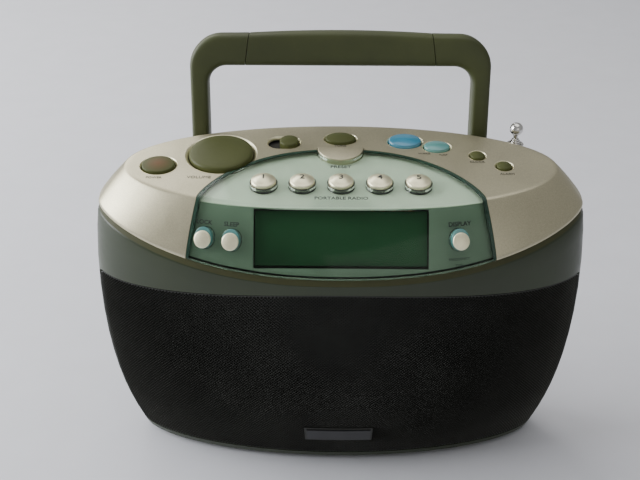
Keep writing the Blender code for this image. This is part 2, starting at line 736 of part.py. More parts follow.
def make_feet_and_badge():
    for index, (x, depth) in enumerate(FEET, start=1):
        mesh = cylinder_mesh(f"foot_{index}", FOOT_RADIUS, 0.0, BASE_Z - GAP, 20)
        foot = add_object(f"foot_{index}", mesh, colour=BLACK, roughness=0.9)
        foot.location = (x, TIP_Y + depth, 0.0)
    badge = add_object("badge_plate", cabinet_skin("badge_plate"), colour=(0.03, 0.03, 0.032),
                       roughness=0.35)
    solidify(badge, BADGE)
    boolean(badge, block("badge_shape", BADGE_LOW, BADGE_HIGH), "INTERSECT")
    badge.location.y = -BADGE - GAP
    bpy.context.view_layer.update()


# Handle -----------------------------------------------------------------------------------
def handle_frame():
    """The handle's own plane: X across, Y up along the arms, Z towards the front."""
    axis = Matrix.Translation((0, TIP_Y + PIVOT[0], PIVOT[1]))
    lean = Matrix.Rotation(-HANDLE_LEAN, 4, "X")
    return axis @ lean @ Matrix.Rotation(math.radians(90), 4, "X")


def bar_top(x):
    return HANDLE_REACH + BAR_CROWN * (1 - (x / SEAM_FOOT) ** 2)


def arm_outline():
    """The right arm and its corner, up to the seam with the grip."""
    inner = HANDLE_OUTER - ARM_WIDTH
    foot = -HANDLE_DEPTH / 2
    low_bar = HANDLE_REACH - BAR_HEIGHT
    outer_corner = (HANDLE_OUTER - HANDLE_OUTER_CORNER, HANDLE_REACH - HANDLE_OUTER_CORNER)
    inner_corner = (inner - HANDLE_INNER_CORNER, low_bar - HANDLE_INNER_CORNER)
    outline = [(inner, foot), (HANDLE_OUTER, foot)]
    outline += arc(outer_corner, HANDLE_OUTER_CORNER, 0, 90, 10)
    outline += [(SEAM_TOP + GAP, bar_top(SEAM_TOP)), (SEAM_FOOT + GAP, low_bar)]
    outline += arc(inner_corner, HANDLE_INNER_CORNER, 90, 0, 8)
    return outline


def make_handle():
    frame = handle_frame()
    for side, name in ((-1, "handle_arm_left"), (1, "handle_arm_right")):
        outline = [(side * x, y) for x, y in arm_outline()]
        mesh = outline_mesh(name, outline, HANDLE_DEPTH)
        round_foot(mesh)
        arm = add_object(name, mesh, colour=DARK_OLIVE, roughness=0.55)
        arm.matrix_world = frame
        bevel(arm, 1.8 * MM, 2, 50)
        turn = Matrix.Translation((side * (HANDLE_OUTER - ARM_WIDTH / 2), 0, 0))
        bore = hole(f"{name}_bore", frame @ turn @ Matrix.Rotation(math.radians(90), 4, "Y"),
                    BORE_RADIUS, segments=24)
        boolean(arm, bore)
        make_pin(side)
    steps = 10
    top = []
    for i in range(steps + 1):
        x = SEAM_TOP * (1 - 2 * i / steps)
        top.append((x, bar_top(x)))
    low_bar = HANDLE_REACH - BAR_HEIGHT
    outline = [(-SEAM_FOOT, low_bar), (SEAM_FOOT, low_bar)] + top
    grip = add_object("handle_grip", outline_mesh("handle_grip", outline, HANDLE_DEPTH),
                      colour=DARK_OLIVE, roughness=0.6)
    grip.matrix_world = frame
    bevel(grip, 1.8 * MM, 2, 50)


def round_foot(mesh):
    """Round an arm's lower end about the handle's axis."""
    bm = bmesh.new()
    bm.from_mesh(mesh)
    foot = -HANDLE_DEPTH / 2
    edges = []
    for edge in bm.edges:
        a, b = (vertex.co for vertex in edge.verts)
        if abs(a.y - foot) < 0.1 * MM and abs(b.y - foot) < 0.1 * MM and abs(a.z - b.z) < 0.1 * MM:
            edges.append(edge)
    bmesh.ops.bevel(bm, geom=edges, offset=HANDLE_DEPTH / 2 - 0.4 * MM, segments=5, profile=0.5,
                    affect="EDGES")
    bm.to_mesh(mesh)
    bm.free()


def make_pin(side):
    """A headed pin through an arm and its lug, its head outside the arm."""
    name = "handle_pin_left" if side < 0 else "handle_pin_right"
    head = HANDLE_OUTER + GAP
    profile = [(0.0, head + 1.3 * MM), (3.4 * MM, head + 1.3 * MM), (4.2 * MM, head + 0.6 * MM),
               (4.2 * MM, head), (PIN_RADIUS, head), (PIN_RADIUS, LUG_INNER + 1 * MM),
               (0.0, LUG_INNER + 1 * MM)]
    pin = turned(name, profile, 24, colour=STEEL, roughness=0.3, metallic=1.0)
    turn = Matrix.Rotation(math.radians(90 * side), 4, "Y")
    pin.matrix_world = Matrix.Translation((0, TIP_Y + PIVOT[0], PIVOT[1])) @ turn


# Antenna ----------------------------------------------------------------------------------
def section_radius(number):
    return ANTENNA_OUTER_RADIUS - ANTENNA_STEP * (number - 1)


def make_antenna():
    x, depth, z = ANTENNA
    elbow = Matrix.Translation((x, TIP_Y + depth, z))
    base = add_object("antenna_base", base_mesh(), colour=(0.1, 0.1, 0.1), roughness=0.4)
    base.matrix_world = elbow
    for number in range(1, ANTENNA_SECTIONS):
        radius = section_radius(number)
        inner = radius - ANTENNA_WALL
        top = ANTENNA_TUBE_TOP + (number - 1) * 0.8 * MM
        foot = ANTENNA_TUBE_FOOT + (number - 1) * 0.6 * MM + (1.2 * MM if number > 1 else 0.0)
        shoulder = top - 2.5 * MM
        flare = radius + 0.7 * MM if number == 1 else radius
        profile = [(inner, top), (flare, top), (flare, shoulder), (radius, shoulder - 0.6 * MM),
                   (radius, foot), (inner, foot)]
        tube = turned(f"antenna_section_{number}", profile, 16, closed=True, colour=STEEL,
                      roughness=0.15, metallic=1.0)
        tube.matrix_world = elbow
    add_knuckle(elbow)
    make_tip(elbow)


def base_mesh():
    """A disc against the boss with two ears that hold the elbow's pin."""
    bm = bmesh.new()
    turn = Matrix.Rotation(math.radians(90), 4, "X")
    disc = Matrix.Translation((0, -4.5 * MM, 0)) @ turn
    bmesh.ops.create_cone(bm, cap_ends=True, segments=20, radius1=4.9 * MM, radius2=4.9 * MM,
                          depth=1.4 * MM, matrix=disc)
    return mesh_from(bm, "antenna_base")


def add_ears(base):
    """Two ears on the disc and the pin that is riveted between them."""
    stand = Matrix(((0, 0, 1, 0), (1, 0, 0, 0), (0, 1, 0, 0), (0, 0, 0, 1)))
    for side in (-1, 1):
        outline = arc((0, 0), 3.0 * MM, -90, 90, 10) + [(-4.4 * MM, 3.0 * MM), (-4.4 * MM, -3.0 * MM)]
        mesh = outline_mesh("ear", outline, 1.5 * MM)
        mesh.transform(base.matrix_world @ Matrix.Translation((side * 3.6 * MM, 0, 0)) @ stand)
        ear = add_cutter(f"antenna_ear_{side}", mesh)
        boolean(base, ear, "UNION")
    across = base.matrix_world @ Matrix.Rotation(math.radians(90), 4, "Y")
    pin = hole("antenna_pin", across, 1.2 * MM, low=-4.6 * MM, high=4.6 * MM, segments=16)
    boolean(base, pin, "UNION")


def add_knuckle(elbow):
    """The flat eye at the outer tube's foot, which turns on the pin between the ears."""
    outline = arc((0, 0), 2.5 * MM, 180, 360, 12)
    outline += [(2.5 * MM, ANTENNA_TUBE_FOOT + 0.4 * MM), (-2.5 * MM, ANTENNA_TUBE_FOOT + 0.4 * MM)]
    mesh = outline_mesh("antenna_knuckle", outline, 4.8 * MM)
    mesh.transform(elbow @ Matrix(((0, 0, 1, 0), (1, 0, 0, 0), (0, 1, 0, 0), (0, 0, 0, 1))))
    tube = bpy.data.objects["antenna_section_1"]
    boolean(tube, add_cutter("antenna_knuckle", mesh), "UNION")
    across = elbow @ Matrix.Rotation(math.radians(90), 4, "Y")
    boolean(tube, hole("knuckle_bore", across, 1.3 * MM, low=-4 * MM, high=4 * MM, segments=16))


def make_tip(elbow):
    """The innermost rod with the round tip on top."""
    radius = section_radius(ANTENNA_SECTIONS)
    foot = ANTENNA_TUBE_FOOT + ANTENNA_SECTIONS * 0.6 * MM + 1.2 * MM
    neck_top = BALL_HEIGHT - BALL_RADIUS * 0.93
    profile = [(0.0, BALL_HEIGHT + BALL_RADIUS)]
    for angle in range(75, -60, -15):
        turn = math.radians(angle)
        profile.append((BALL_RADIUS * math.cos(turn), BALL_HEIGHT + BALL_RADIUS * math.sin(turn)))
    profile += [(radius, neck_top + 0.2 * MM), (radius, foot), (0.0, foot)]
    tip = turned("antenna_tip", profile, 16, colour=STEEL, roughness=0.1, metallic=1.0)
    tip.matrix_world = elbow


# Inside -----------------------------------------------------------------------------------
def make_power():
    """The battery tray and cells, their contacts, the transformer and the mains inlet."""
    low = [value - BAY_WALL for value in BAY_LOW]
    high = [BAY_HIGH[0] + BAY_WALL, BAY_HIGH[1], BAY_HIGH[2] + BAY_WALL]
    tray = depth_box("battery_tray", low, high, colour=BLACK, roughness=0.6)
    boolean(tray, block("tray_hollow", BAY_LOW, (BAY_HIGH[0], 60 * MM, BAY_HIGH[2])))
    turn = Matrix.Rotation(math.radians(90), 4, "Y")
    index = 0
    for z in (BAY_LOW[2] + CELL_RADIUS + GAP, BAY_HIGH[2] - CELL_RADIUS - GAP):
        for side in (-1, 1):
            index += 1
            half = CELL_LENGTH / 2
            nub = half + 1.0 * MM
            profile = [(0.0, nub), (3.5 * MM, nub), (3.5 * MM, half), (CELL_RADIUS, half),
                       (CELL_RADIUS, -half), (0.0, -half)]
            cell = turned(f"battery_{index}", profile, 16, colour=(0.02, 0.02, 0.03), roughness=0.4)
            place = Matrix.Translation((side * 25.4 * MM, TIP_Y + CELL_RADIUS + 0.6 * MM, z))
            cell.matrix_world = place @ turn
    for side, name in ((-1, "contact_left"), (1, "contact_right")):
        x = sorted((side * 51.3 * MM, side * 52.0 * MM))
        depth_box(name, (x[0], 2 * MM, 14 * MM), (x[1], 24 * MM, 56 * MM), colour=STEEL,
                  roughness=0.3, metallic=1.0)
    depth_box("transformer", (62 * MM, -10 * MM, 6 * MM), (84 * MM, 14 * MM, 38 * MM),
              colour=(0.15, 0.15, 0.16), roughness=0.4, metallic=0.6)
    inlet = depth_box("mains_inlet", (-70.1 * MM, 12 * MM, 24.9 * MM), (-53.9 * MM, 28.4 * MM, 35.1 * MM),
                      colour=BLACK, roughness=0.5)
    shape = arc((3.2 * MM, 0), 3.4 * MM, -90, 90, 8) + arc((-3.2 * MM, 0), 3.4 * MM, 90, 270, 8)
    mesh = outline_mesh("inlet_socket", shape, 24 * MM)
    mesh.transform(across_y(-62 * MM, 28.4 * MM, 30 * MM))
    boolean(inlet, add_cutter("inlet_socket", mesh))


def make_electronics():
    """Boards, display drive, tuner coil, encoder and headphone jack."""
    depth_box("main_board", (-78 * MM, -13 * MM, 18 * MM), (-76.4 * MM, 18 * MM, 112 * MM),
              colour=BOARD, roughness=0.5)
    outline = []
    for i in range(48):
        angle = 2 * math.pi * i / 48
        outline.append((88 * MM * math.cos(angle), max(-14 * MM, 5 * MM + 21 * MM * math.sin(angle))))
    mesh = outline_mesh("key_board", outline, 1.4 * MM)
    mesh.transform(on_top(0.0, 0.0, sink=9.6 * MM))
    add_object("key_board", mesh, colour=BOARD, roughness=0.5)
    encoder = add_object("volume_encoder", box_mesh("volume_encoder", (-6 * MM, -6 * MM, -8.5 * MM),
                                                    (6 * MM, 6 * MM, -5.6 * MM)),
                         colour=STEEL, roughness=0.4, metallic=0.8)
    encoder.matrix_world = on_top(*VOLUME_KNOB[:2])
    turn = Matrix.Rotation(math.radians(90), 4, "Y")
    rod_place = Matrix.Translation((0, TIP_Y + 14 * MM, 112 * MM)) @ turn
    rod = add_object("ferrite_rod", cylinder_mesh("ferrite_rod", 4 * MM, -50 * MM, 50 * MM, 16),
                     colour=(0.05, 0.05, 0.05), roughness=0.7)
    rod.matrix_world = rod_place
    profile = [(4.4 * MM, 34 * MM), (6.2 * MM, 34 * MM), (6.2 * MM, 14 * MM), (4.4 * MM, 14 * MM)]
    coil = turned("antenna_coil", profile, 16, closed=True, colour=(0.5, 0.2, 0.08), roughness=0.4)
    coil.matrix_world = rod_place
    frame = across_y(70 * MM, 30 * MM, 62 * MM)
    profile = [(1.8 * MM, 16 * MM), (3.8 * MM, 16 * MM), (3.8 * MM, 1.5 * MM), (1.8 * MM, 1.5 * MM)]
    jack = turned("headphone_jack", profile, 20, closed=True, colour=BLACK, roughness=0.4)
    jack.matrix_world = frame


def make_speaker():
    """The loudspeaker behind the grille, on its baffle."""
    baffle = depth_box("speaker_baffle", (-46 * MM, BAFFLE_DEPTH, 24 * MM),
                       (46 * MM, BAFFLE_DEPTH + BAFFLE, 102 * MM), colour=BLACK, roughness=0.7)
    frame = across_y(0.0, BAFFLE_DEPTH + BAFFLE + GAP, SPEAKER_Z)
    boolean(baffle, hole("speaker_hole", frame, CONE_RADIUS + 2 * MM, segments=24))
    flange = -1.2 * MM
    profile = [(CONE_RADIUS + 0.6 * MM, 0.0), (SPEAKER_RADIUS, 0.0), (SPEAKER_RADIUS, flange),
               (CONE_RADIUS + 1.6 * MM, flange), (20 * MM, -13 * MM), (20 * MM, -16 * MM),
               (10.5 * MM, -16 * MM), (10.5 * MM, -14.8 * MM), (18.6 * MM, -14.8 * MM),
               (18.6 * MM, -12.4 * MM)]
    basket = turned("speaker_basket", profile, 24, closed=True, colour=STEEL, roughness=0.5,
                    metallic=0.8)
    basket.matrix_world = frame
    profile = [(0.0, -16.3 * MM), (19 * MM, -16.3 * MM), (19 * MM, -23.5 * MM), (0.0, -23.5 * MM)]
    magnet = turned("speaker_magnet", profile, 24, colour=(0.08, 0.08, 0.08), roughness=0.6)
    magnet.matrix_world = frame
    profile = [(0.0, -7.2 * MM), (5 * MM, -8.0 * MM), (8.0 * MM, -9.8 * MM), (CONE_RADIUS - 3 * MM, -0.8 * MM),
               (CONE_RADIUS - 1.5 * MM, 0.4 * MM), (CONE_RADIUS - 0.7 * MM, -0.4 * MM),
               (CONE_RADIUS - 1.7 * MM, -0.8 * MM), (CONE_RADIUS - 2.6 * MM, -1.6 * MM), (8.0 * MM, -11.2 * MM),
               (0.0, -11.2 * MM)]
    cone = turned("speaker_cone", profile, 24, colour=(0.02, 0.02, 0.02), roughness=0.8)
    cone.matrix_world = frame


def main():
    clear_scene()
    make_top()
    make_controls()
    make_cabinet()
    make_battery_door()
    make_feet_and_badge()
    make_handle()
    make_antenna()
    add_ears(bpy.data.objects["antenna_base"])
    make_power()
    make_electronics()
    make_speaker()


main()
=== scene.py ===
"""Finished looks of a tabletop radio round its fixed frame, laid out as a Blender add-on."""
import json
import math

import bpy
from bpy.props import FloatProperty, FloatVectorProperty, IntProperty, PointerProperty
from mathutils import Matrix, Vector


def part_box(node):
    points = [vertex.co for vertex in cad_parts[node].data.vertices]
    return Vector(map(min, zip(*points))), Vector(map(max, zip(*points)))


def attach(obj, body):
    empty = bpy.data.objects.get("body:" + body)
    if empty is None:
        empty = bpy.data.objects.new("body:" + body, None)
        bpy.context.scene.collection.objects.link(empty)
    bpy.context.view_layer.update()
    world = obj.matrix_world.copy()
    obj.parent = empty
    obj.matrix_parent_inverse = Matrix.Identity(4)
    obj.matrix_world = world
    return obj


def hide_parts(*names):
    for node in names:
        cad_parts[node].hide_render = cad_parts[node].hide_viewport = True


bl_info = {
    "name": "Tabletop Radio",
    "version": (1, 0, 0),
    "blender": (4, 5, 0),
    "location": "3D View > Sidebar > Radio",
    "description": "Models the finished pieces of a portable tabletop radio",
    "category": "Add Mesh",
}

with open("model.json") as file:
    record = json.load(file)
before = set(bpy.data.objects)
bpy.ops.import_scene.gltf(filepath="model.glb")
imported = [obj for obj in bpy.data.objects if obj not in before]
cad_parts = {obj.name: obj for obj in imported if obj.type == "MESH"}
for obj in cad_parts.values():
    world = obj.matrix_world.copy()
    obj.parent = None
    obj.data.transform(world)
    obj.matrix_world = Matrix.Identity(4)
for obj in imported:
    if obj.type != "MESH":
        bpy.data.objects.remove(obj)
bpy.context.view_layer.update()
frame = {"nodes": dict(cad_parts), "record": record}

MM = 0.001
GAP = 0.3 * MM

# The cabinet's form, from the frame where a piece gives it --------------------------------
TIP_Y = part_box("front_cabinet")[1].y + GAP / 2      # plane through the two ends of the rim
RIM_TUCK = 4.2 * MM          # the ends of the rim come in by this much
RIM_TUCK_POWER = 5.7
RIM_HALF_WIDTH = 107.3 * MM
HALF_WIDTH = RIM_HALF_WIDTH + RIM_TUCK - 0.1 * MM      # so the smooth wall stays inside the frame
FRONT_BULGE = TIP_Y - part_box("front_cabinet")[0].y
BASE_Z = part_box("front_cabinet")[0].z
BASE_HALF_WIDTH = 95.0 * MM
BASE_FRONT_BULGE = 28.0 * MM
REAR_BULGE = 39.5 * MM
BASE_REAR_BULGE = 33.0 * MM
FRONT_POWER = 0.57
FLARE_POWER = 3.8
BASE_ROUND = 1.6 * MM
WALL = 2.2 * MM
PANEL = 2.0 * MM

TOP_Z = 140.0 * MM
TOP_MIDDLE = 6.0 * MM
TOP_RISE = 0.14
TOP_HALF_WIDTH = 95.0 * MM
TOP_FRONT = 34.0 * MM
TOP_REAR = 32.0 * MM
CREASE_FLAT = 2.5 * MM       # the crease's nose lies this much behind an ellipse's
CREASE_FLAT_POWER = 6
SLOPE_LENGTH = 26 * MM       # about how long the slope is from the crease to the rim
SEARCH_STEPS = 30
RIM_END_Z = 125.0 * MM
RIM_DIP = 16.0 * MM
RIM_DIP_POWER = 2.6
RIM_REAR_DROP = 4.0 * MM
RIM_LIP = 1.0 * MM

WINDOW_HALF_WIDTH = 61.3 * MM
WINDOW_CORNER = -20.7 * MM
WINDOW_APEX = 17.9 * MM
ARCH_POWER, ARCH_ROUND = 2.3, 0.7
WINDOW_FOOT_HALF_WIDTH = 65.5 * MM
WINDOW_FOOT = -32.0 * MM
TAB_RADIUS = 10.4 * MM
PLATE_DEPTH = 3.2 * MM       # how far the window's plates lie below the surface
LCD_HALF_WIDTH = 36.7 * MM
LCD_TOP_Z = 134.9 * MM
LCD_FOOT_Z = 114.1 * MM

GRILLE_MIDDLE_DROP = 7.5 * MM
GRILLE_END_DROP = 32.0 * MM
GRILLE_HALF_WIDTH = 108.4 * MM
GRILLE_FOOT_Z = 6.0 * MM
GRILLE_SIDE = -3.8 * MM
GRILLE_CORNER = 7.0 * MM

PIVOT = Vector((0.0, TIP_Y + 46.5 * MM, 120.0 * MM))
HANDLE_LEAN = math.radians(10.0)
HANDLE_OUTER = 70.4 * MM
ARM_WIDTH = 8.5 * MM
HANDLE_REACH = 63.6 * MM
BAR_CROWN = 1.4 * MM
BAR_HEIGHT = 14.5 * MM
HANDLE_DEPTH = 12.0 * MM
SEAM_TOP = 42.3 * MM
SEAM_FOOT = 44.4 * MM

AROUND = 176            # points round the cabinet


# Sizes and colours that a user would change ------------------------------------------------
class RadioSizes(bpy.types.PropertyGroup):
    """Small sizes of the finished pieces."""

    edge_round: FloatProperty(name="Edge Rounding", description="Radius of the cut edges",
                              default=0.35 * MM, unit="LENGTH")
    crease_start: FloatProperty(name="Crease Start", description="Share of the flat that stays flat",
                                default=0.972, subtype="FACTOR")
    slope_bulge: FloatProperty(name="Slope Bulge", description="Swell of the sloping face",
                               default=0.7 * MM, unit="LENGTH")
    grille_columns: IntProperty(name="Grille Columns", description="Rows of holes across the grille",
                                default=150)
    grille_rows: IntProperty(name="Grille Rows", description="Rows of holes up the grille", default=63)
    hole_rim: FloatProperty(name="Hole Rim", description="Sloping metal round each grille hole",
                            default=0.24 * MM, unit="LENGTH")
    hole_depth: FloatProperty(name="Hole Depth", description="Depth of each grille hole",
                              default=0.6 * MM, unit="LENGTH")


def colour_property(name, description, default):
    return FloatVectorProperty(name=name, description=description, default=default, subtype="COLOR",
                               size=3, min=0.0, max=1.0)


class RadioColours(bpy.types.PropertyGroup):
    """Colours of the radio's finishes."""

    olive: colour_property("Olive", "Cabinet", (0.021, 0.030, 0.011))
    lamp: colour_property("Lamp Tint", "Middle of the power key", (0.16, 0.055, 0.022))
    # The rim strip's colour is the cabinet olive made lighter and warmer: a painted highlight on the
    # bevel that faces the light.
    strip: colour_property("Rim Strip", "Bevel under the silver rim", (0.046, 0.048, 0.017))
    key: colour_property("Keys", "Olive keys and the knob", (0.060, 0.068, 0.018))
    handle: colour_property("Handle", "Carrying handle", (0.043, 0.052, 0.012))
    silver: colour_property("Silver", "Metallic paint of the top", (0.51, 0.475, 0.335))
    glass: colour_property("Window Tint", "Clear green window", (0.84, 0.95, 0.87))
    plate: colour_property("Window Plate", "Plate under the window's flat", (0.86, 0.88, 0.77))
    surround: colour_property("Display Surround", "Plate round the display", (0.175, 0.235, 0.175))
    # The groove's dark colour is painted shade: the gap round the window, where the plate lies in
    # shadow.
    groove: colour_property("Window Groove", "Dark strip round the window", (0.012, 0.045, 0.028))
    lcd: colour_property("Display", "Liquid-crystal panel", (0.026, 0.082, 0.038))
    grille: colour_property("Grille", "Perforated sheet", (0.040, 0.041, 0.037))
    # Besides the badge's own dark plastic, this colour is painted shade in the gaps round the preset
    # keys and in the switch's slot.
    dark: colour_property("Dark Plastic", "Badge, tray and sockets", (0.020, 0.020, 0.022))
    blue: colour_property("Blue Key", "Large translucent key", (0.040, 0.22, 0.34))
    teal: colour_property("Teal Key", "Small translucent key", (0.10, 0.28, 0.27))
    ink: colour_property("Ink", "Printed words and numbers", (0.012, 0.014, 0.014))
    floor: colour_property("Floor", "Pale floor", (0.66, 0.67, 0.72))


def sizes():
    return bpy.context.scene.radio_sizes


def colours():
    return bpy.context.scene.radio_colours


# Modelling helpers --------------------------------------------------------------------------
def deselect():
    """Leave edit mode and select nothing."""
    active = bpy.context.view_layer.objects.active
    if active is not None and active.mode != "OBJECT":
        bpy.ops.object.mode_set(mode="OBJECT")
    bpy.ops.object.select_all(action="DESELECT")


def pick(piece):
    """Make a piece the only selected one, and the active one."""
    deselect()
    piece.select_set(True)
    bpy.context.view_layer.objects.active = piece


def edit(piece, *steps):
    """Edit mode on the whole of a piece: each step is an operator with its settings."""
    pick(piece)
    bpy.ops.object.mode_set(mode="EDIT")
    bpy.ops.mesh.select_all(action="SELECT")
    for operator, settings in steps:
        operator(**settings)
    bpy.ops.object.mode_set(mode="OBJECT")


def close_seams(piece, distance=0.01 * MM):
    """Merge points that lie together, then turn every face outwards."""
    edit(piece, (bpy.ops.mesh.remove_doubles, {"threshold": distance}),
         (bpy.ops.mesh.normals_make_consistent, {"inside": False}))


def apply_modifier(piece, kind, **settings):
    pick(piece)
    step = piece.modifiers.new(kind.lower(), kind)
    for name, value in settings.items():
        setattr(step, name, value)
    bpy.ops.object.modifier_apply(modifier=step.name)


def smooth(piece, degrees=30):
    pick(piece)
    bpy.ops.object.shade_smooth_by_angle(angle=math.radians(degrees))


def cut(piece, other, operation="DIFFERENCE"):
    """Combine a piece with another, which is used up."""
    apply_modifier(piece, "BOOLEAN", operation=operation, object=other, solver="EXACT")
    bpy.data.objects.remove(other)


def cut_all(piece, cutters):
    for other in cutters:
        cut(piece, other)


def round_edges(piece, width=None, segments=2, degrees=42):
    apply_modifier(piece, "BEVEL", width=sizes().edge_round if width is None else width,
                   segments=segments, limit_method="ANGLE", angle_limit=math.radians(degrees))


def grid_sheet(name, columns, rows, place, closed=True):
    """A grid whose points are laid on a form by place(share across, share up)."""
    deselect()
    bpy.ops.mesh.primitive_grid_add(x_subdivisions=columns, y_subdivisions=rows, size=2.0)
    piece = bpy.context.object
    piece.name = name
    for vertex in piece.data.vertices:
        vertex.co = place((vertex.co.x + 1) / 2, (vertex.co.y + 1) / 2)
    if closed:
        close_seams(piece)
    return piece


def turned(name, profile, place=Matrix.Identity(4), around=48, stretch=(1.0, 1.0), ring=False):
    """A profile of (radius, height) points turned about its own Z, then put in its place."""
    points = profile + [profile[0]] if ring else profile

    def on_profile(across, up):
        radius, height = points[round(up * (len(points) - 1))]
        angle = 2 * math.pi * across
        return (radius * math.cos(angle) * stretch[0], radius * math.sin(angle) * stretch[1], height)

    piece = grid_sheet(name, around, len(points) - 1, on_profile)
    piece.data.transform(place)
    return piece


def bezier(a, b, c, w):
    """A point on the soft turn from a to c, drawn towards b."""
    return a * (1 - w) ** 2 + b * 2 * w * (1 - w) + c * w * w


def soft_profile(points, radius, steps=3):
    """The same profile with each inner corner rounded by about radius."""
    result = [points[0]]
    for before, corner, after in zip(points, points[1:], points[2:]):
        a, b, c = Vector(before), Vector(corner), Vector(after)
        reach = min(radius, (a - b).length * 0.45, (c - b).length * 0.45)
        start = b + (a - b).normalized() * reach
        end = b + (c - b).normalized() * reach
        result += [tuple(bezier(start, b, end, i / steps)) for i in range(steps + 1)]
    result.append(points[-1])
    return result


def prism(name, outline, low, high, place=Matrix.Identity(4)):
    """A flat outline, filled and extruded along its own Z."""
    deselect()
    bpy.ops.mesh.primitive_circle_add(vertices=len(outline), radius=1.0, fill_type="NGON")
    piece = bpy.context.object
    piece.name = name
    for vertex, (x, y) in zip(piece.data.vertices, outline):
        vertex.co = (x, y, low)
    edit(piece, (bpy.ops.mesh.extrude_region_move,
                 {"TRANSFORM_OT_translate": {"value": (0, 0, high - low)}}),
         (bpy.ops.mesh.select_all, {"action": "SELECT"}),
         (bpy.ops.mesh.normals_make_consistent, {"inside": False}))
    piece.data.transform(place)
    return piece


def block(name, low, high, place=Matrix.Identity(4), edge=0.0, segments=3):
    """A box from corner to corner with rounded edges."""
    deselect()
    bpy.ops.mesh.primitive_cube_add(size=1.0)
    piece = bpy.context.object
    piece.name = name
    middle = [(a + b) / 2 for a, b in zip(low, high)]
    size = [b - a for a, b in zip(low, high)]
    for vertex in piece.data.vertices:
        vertex.co = [m + s * c for m, s, c in zip(middle, size, vertex.co)]
    if edge:
        round_edges(piece, edge, segments)
    piece.data.transform(place)
    return piece


FACING_FRONT = Matrix.Rotation(math.pi / 2, 4, "X")     # Z becomes -Y
FACING_SIDE = Matrix.Rotation(math.pi / 2, 4, "Y")      # Z becomes X
SIDEWAYS = Matrix(((0, 0, 1, 0), (1, 0, 0, 0), (0, 1, 0, 0), (0, 0, 0, 1)))  # X, Y, Z to Y, Z, X


def at(place, turn=Matrix.Identity(4)):
    """The matrix of a place, with a turn made there."""
    return Matrix.Translation(place) @ turn


def in_mm(*points):
    """Points given in millimetres."""
    return [(x * MM, y * MM) for x, y in points]


def arc(centre, radius, start, end, steps):
    """Points on an arc, its ends given in degrees."""
    return [(centre[0] + radius * math.cos(math.radians(start + (end - start) * i / steps)),
             centre[1] + radius * math.sin(math.radians(start + (end - start) * i / steps)))
            for i in range(steps + 1)]


def oval_outline(half_x, half_y, steps=48):
    return [(half_x * x, half_y * y) for x, y in arc((0, 0), 1.0, 0, 360, steps)[:-1]]


def rod(name, radius, low, high, place, steps):
    """A round bar along its own Z."""
    return prism(name, oval_outline(radius, radius, steps), low, high, place)


def slot_outline(half_length, radius, steps):
    """A straight slot with round ends."""
    return (arc((half_length, 0), radius, -90, 90, steps)
            + arc((-half_length, 0), radius, 90, 270, steps))


def join(name, pieces):
    """Make one piece of several."""
    deselect()
    for piece in pieces:
        piece.select_set(True)
    bpy.context.view_layer.objects.active = pieces[0]
    bpy.ops.object.join()
    pieces[0].name = name
    return pieces[0]


def done(piece, body, slot, material, *nodes, degrees=30):
    """Shade, paint and hand a finished piece over to its body."""
    smooth(piece, degrees)
    piece.data.materials.clear()
    piece.data.materials.append(material)
    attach(piece, body)
    if nodes:
        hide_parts(*nodes)
    return piece


# The cabinet's form ------------------------------------------------------------------------
def rim_height(u, front):
    """Height of the rim at a share u of its half width: it dips in front and is level behind."""
    if front:
        return RIM_END_Z - RIM_DIP * (1 - abs(u) ** RIM_DIP_POWER)
    rear = TOP_Z + TOP_RISE * TOP_REAR - RIM_REAR_DROP
    return RIM_END_Z + (rear - RIM_END_Z) * math.sqrt(max(0.0, 1 - u * u))


def oval_point(angle, half_width, front_bulge, rear_bulge, front_power=FRONT_POWER):
    """A point round the oval; angle 0 is the middle of the front and a quarter turn is +X."""
    depth = abs(math.cos(angle))
    front = math.cos(angle) >= 0
    y = -front_bulge * depth ** (2 * front_power) if front else rear_bulge * depth
    return half_width * math.sin(angle), TIP_Y + y


def wall_point(angle, share, inset=0.0, drop=0.0):
    """A point on the outer wall, share of the way from the base to the rim."""
    turn_in = (1 - share) ** FLARE_POWER
    tuck = RIM_TUCK * share ** RIM_TUCK_POWER
    x, y = oval_point(angle, HALF_WIDTH - (HALF_WIDTH - BASE_HALF_WIDTH) * turn_in - tuck - inset,
                      FRONT_BULGE - (FRONT_BULGE - BASE_FRONT_BULGE) * turn_in - inset,
                      REAR_BULGE - (REAR_BULGE - BASE_REAR_BULGE) * turn_in - inset)
    rim = rim_height(math.sin(angle), math.cos(angle) >= 0)
    return Vector((x, y, BASE_Z + share * (rim - BASE_Z) - drop))


def flat_height(y):
    """Height of the flat, which climbs to the rear."""
    return TOP_Z + TOP_RISE * (y - TIP_Y - TOP_MIDDLE)


def crease_point(angle, scale=1.0):
    """A point on the crease round the flat, or on a smaller ring inside it."""
    x, y = oval_point(angle, TOP_HALF_WIDTH * scale, TOP_FRONT * scale, TOP_REAR * scale, 0.5)
    setback = CREASE_FLAT * scale * max(0.0, math.cos(angle)) ** (2 * CREASE_FLAT_POWER)
    y += TOP_MIDDLE + setback
    return Vector((x, y, flat_height(y)))


def lip_point(angle, rise):
    """A point above the wall's upper edge."""
    point = wall_point(angle, 1.0)
    return Vector((point.x, point.y, point.z + rise))


def slope_point(angle, share):
    """A point between the crease and the rim, on a slightly swollen face."""
    top, foot = crease_point(angle), lip_point(angle, RIM_LIP)
    across = crease_point(angle + 0.01) - crease_point(angle - 0.01)
    normal = across.cross(top - foot).normalized()
    length = (top - foot).length / SLOPE_LENGTH
    return top.lerp(foot, share) + normal * sizes().slope_bulge * length * 4 * share * (1 - share)


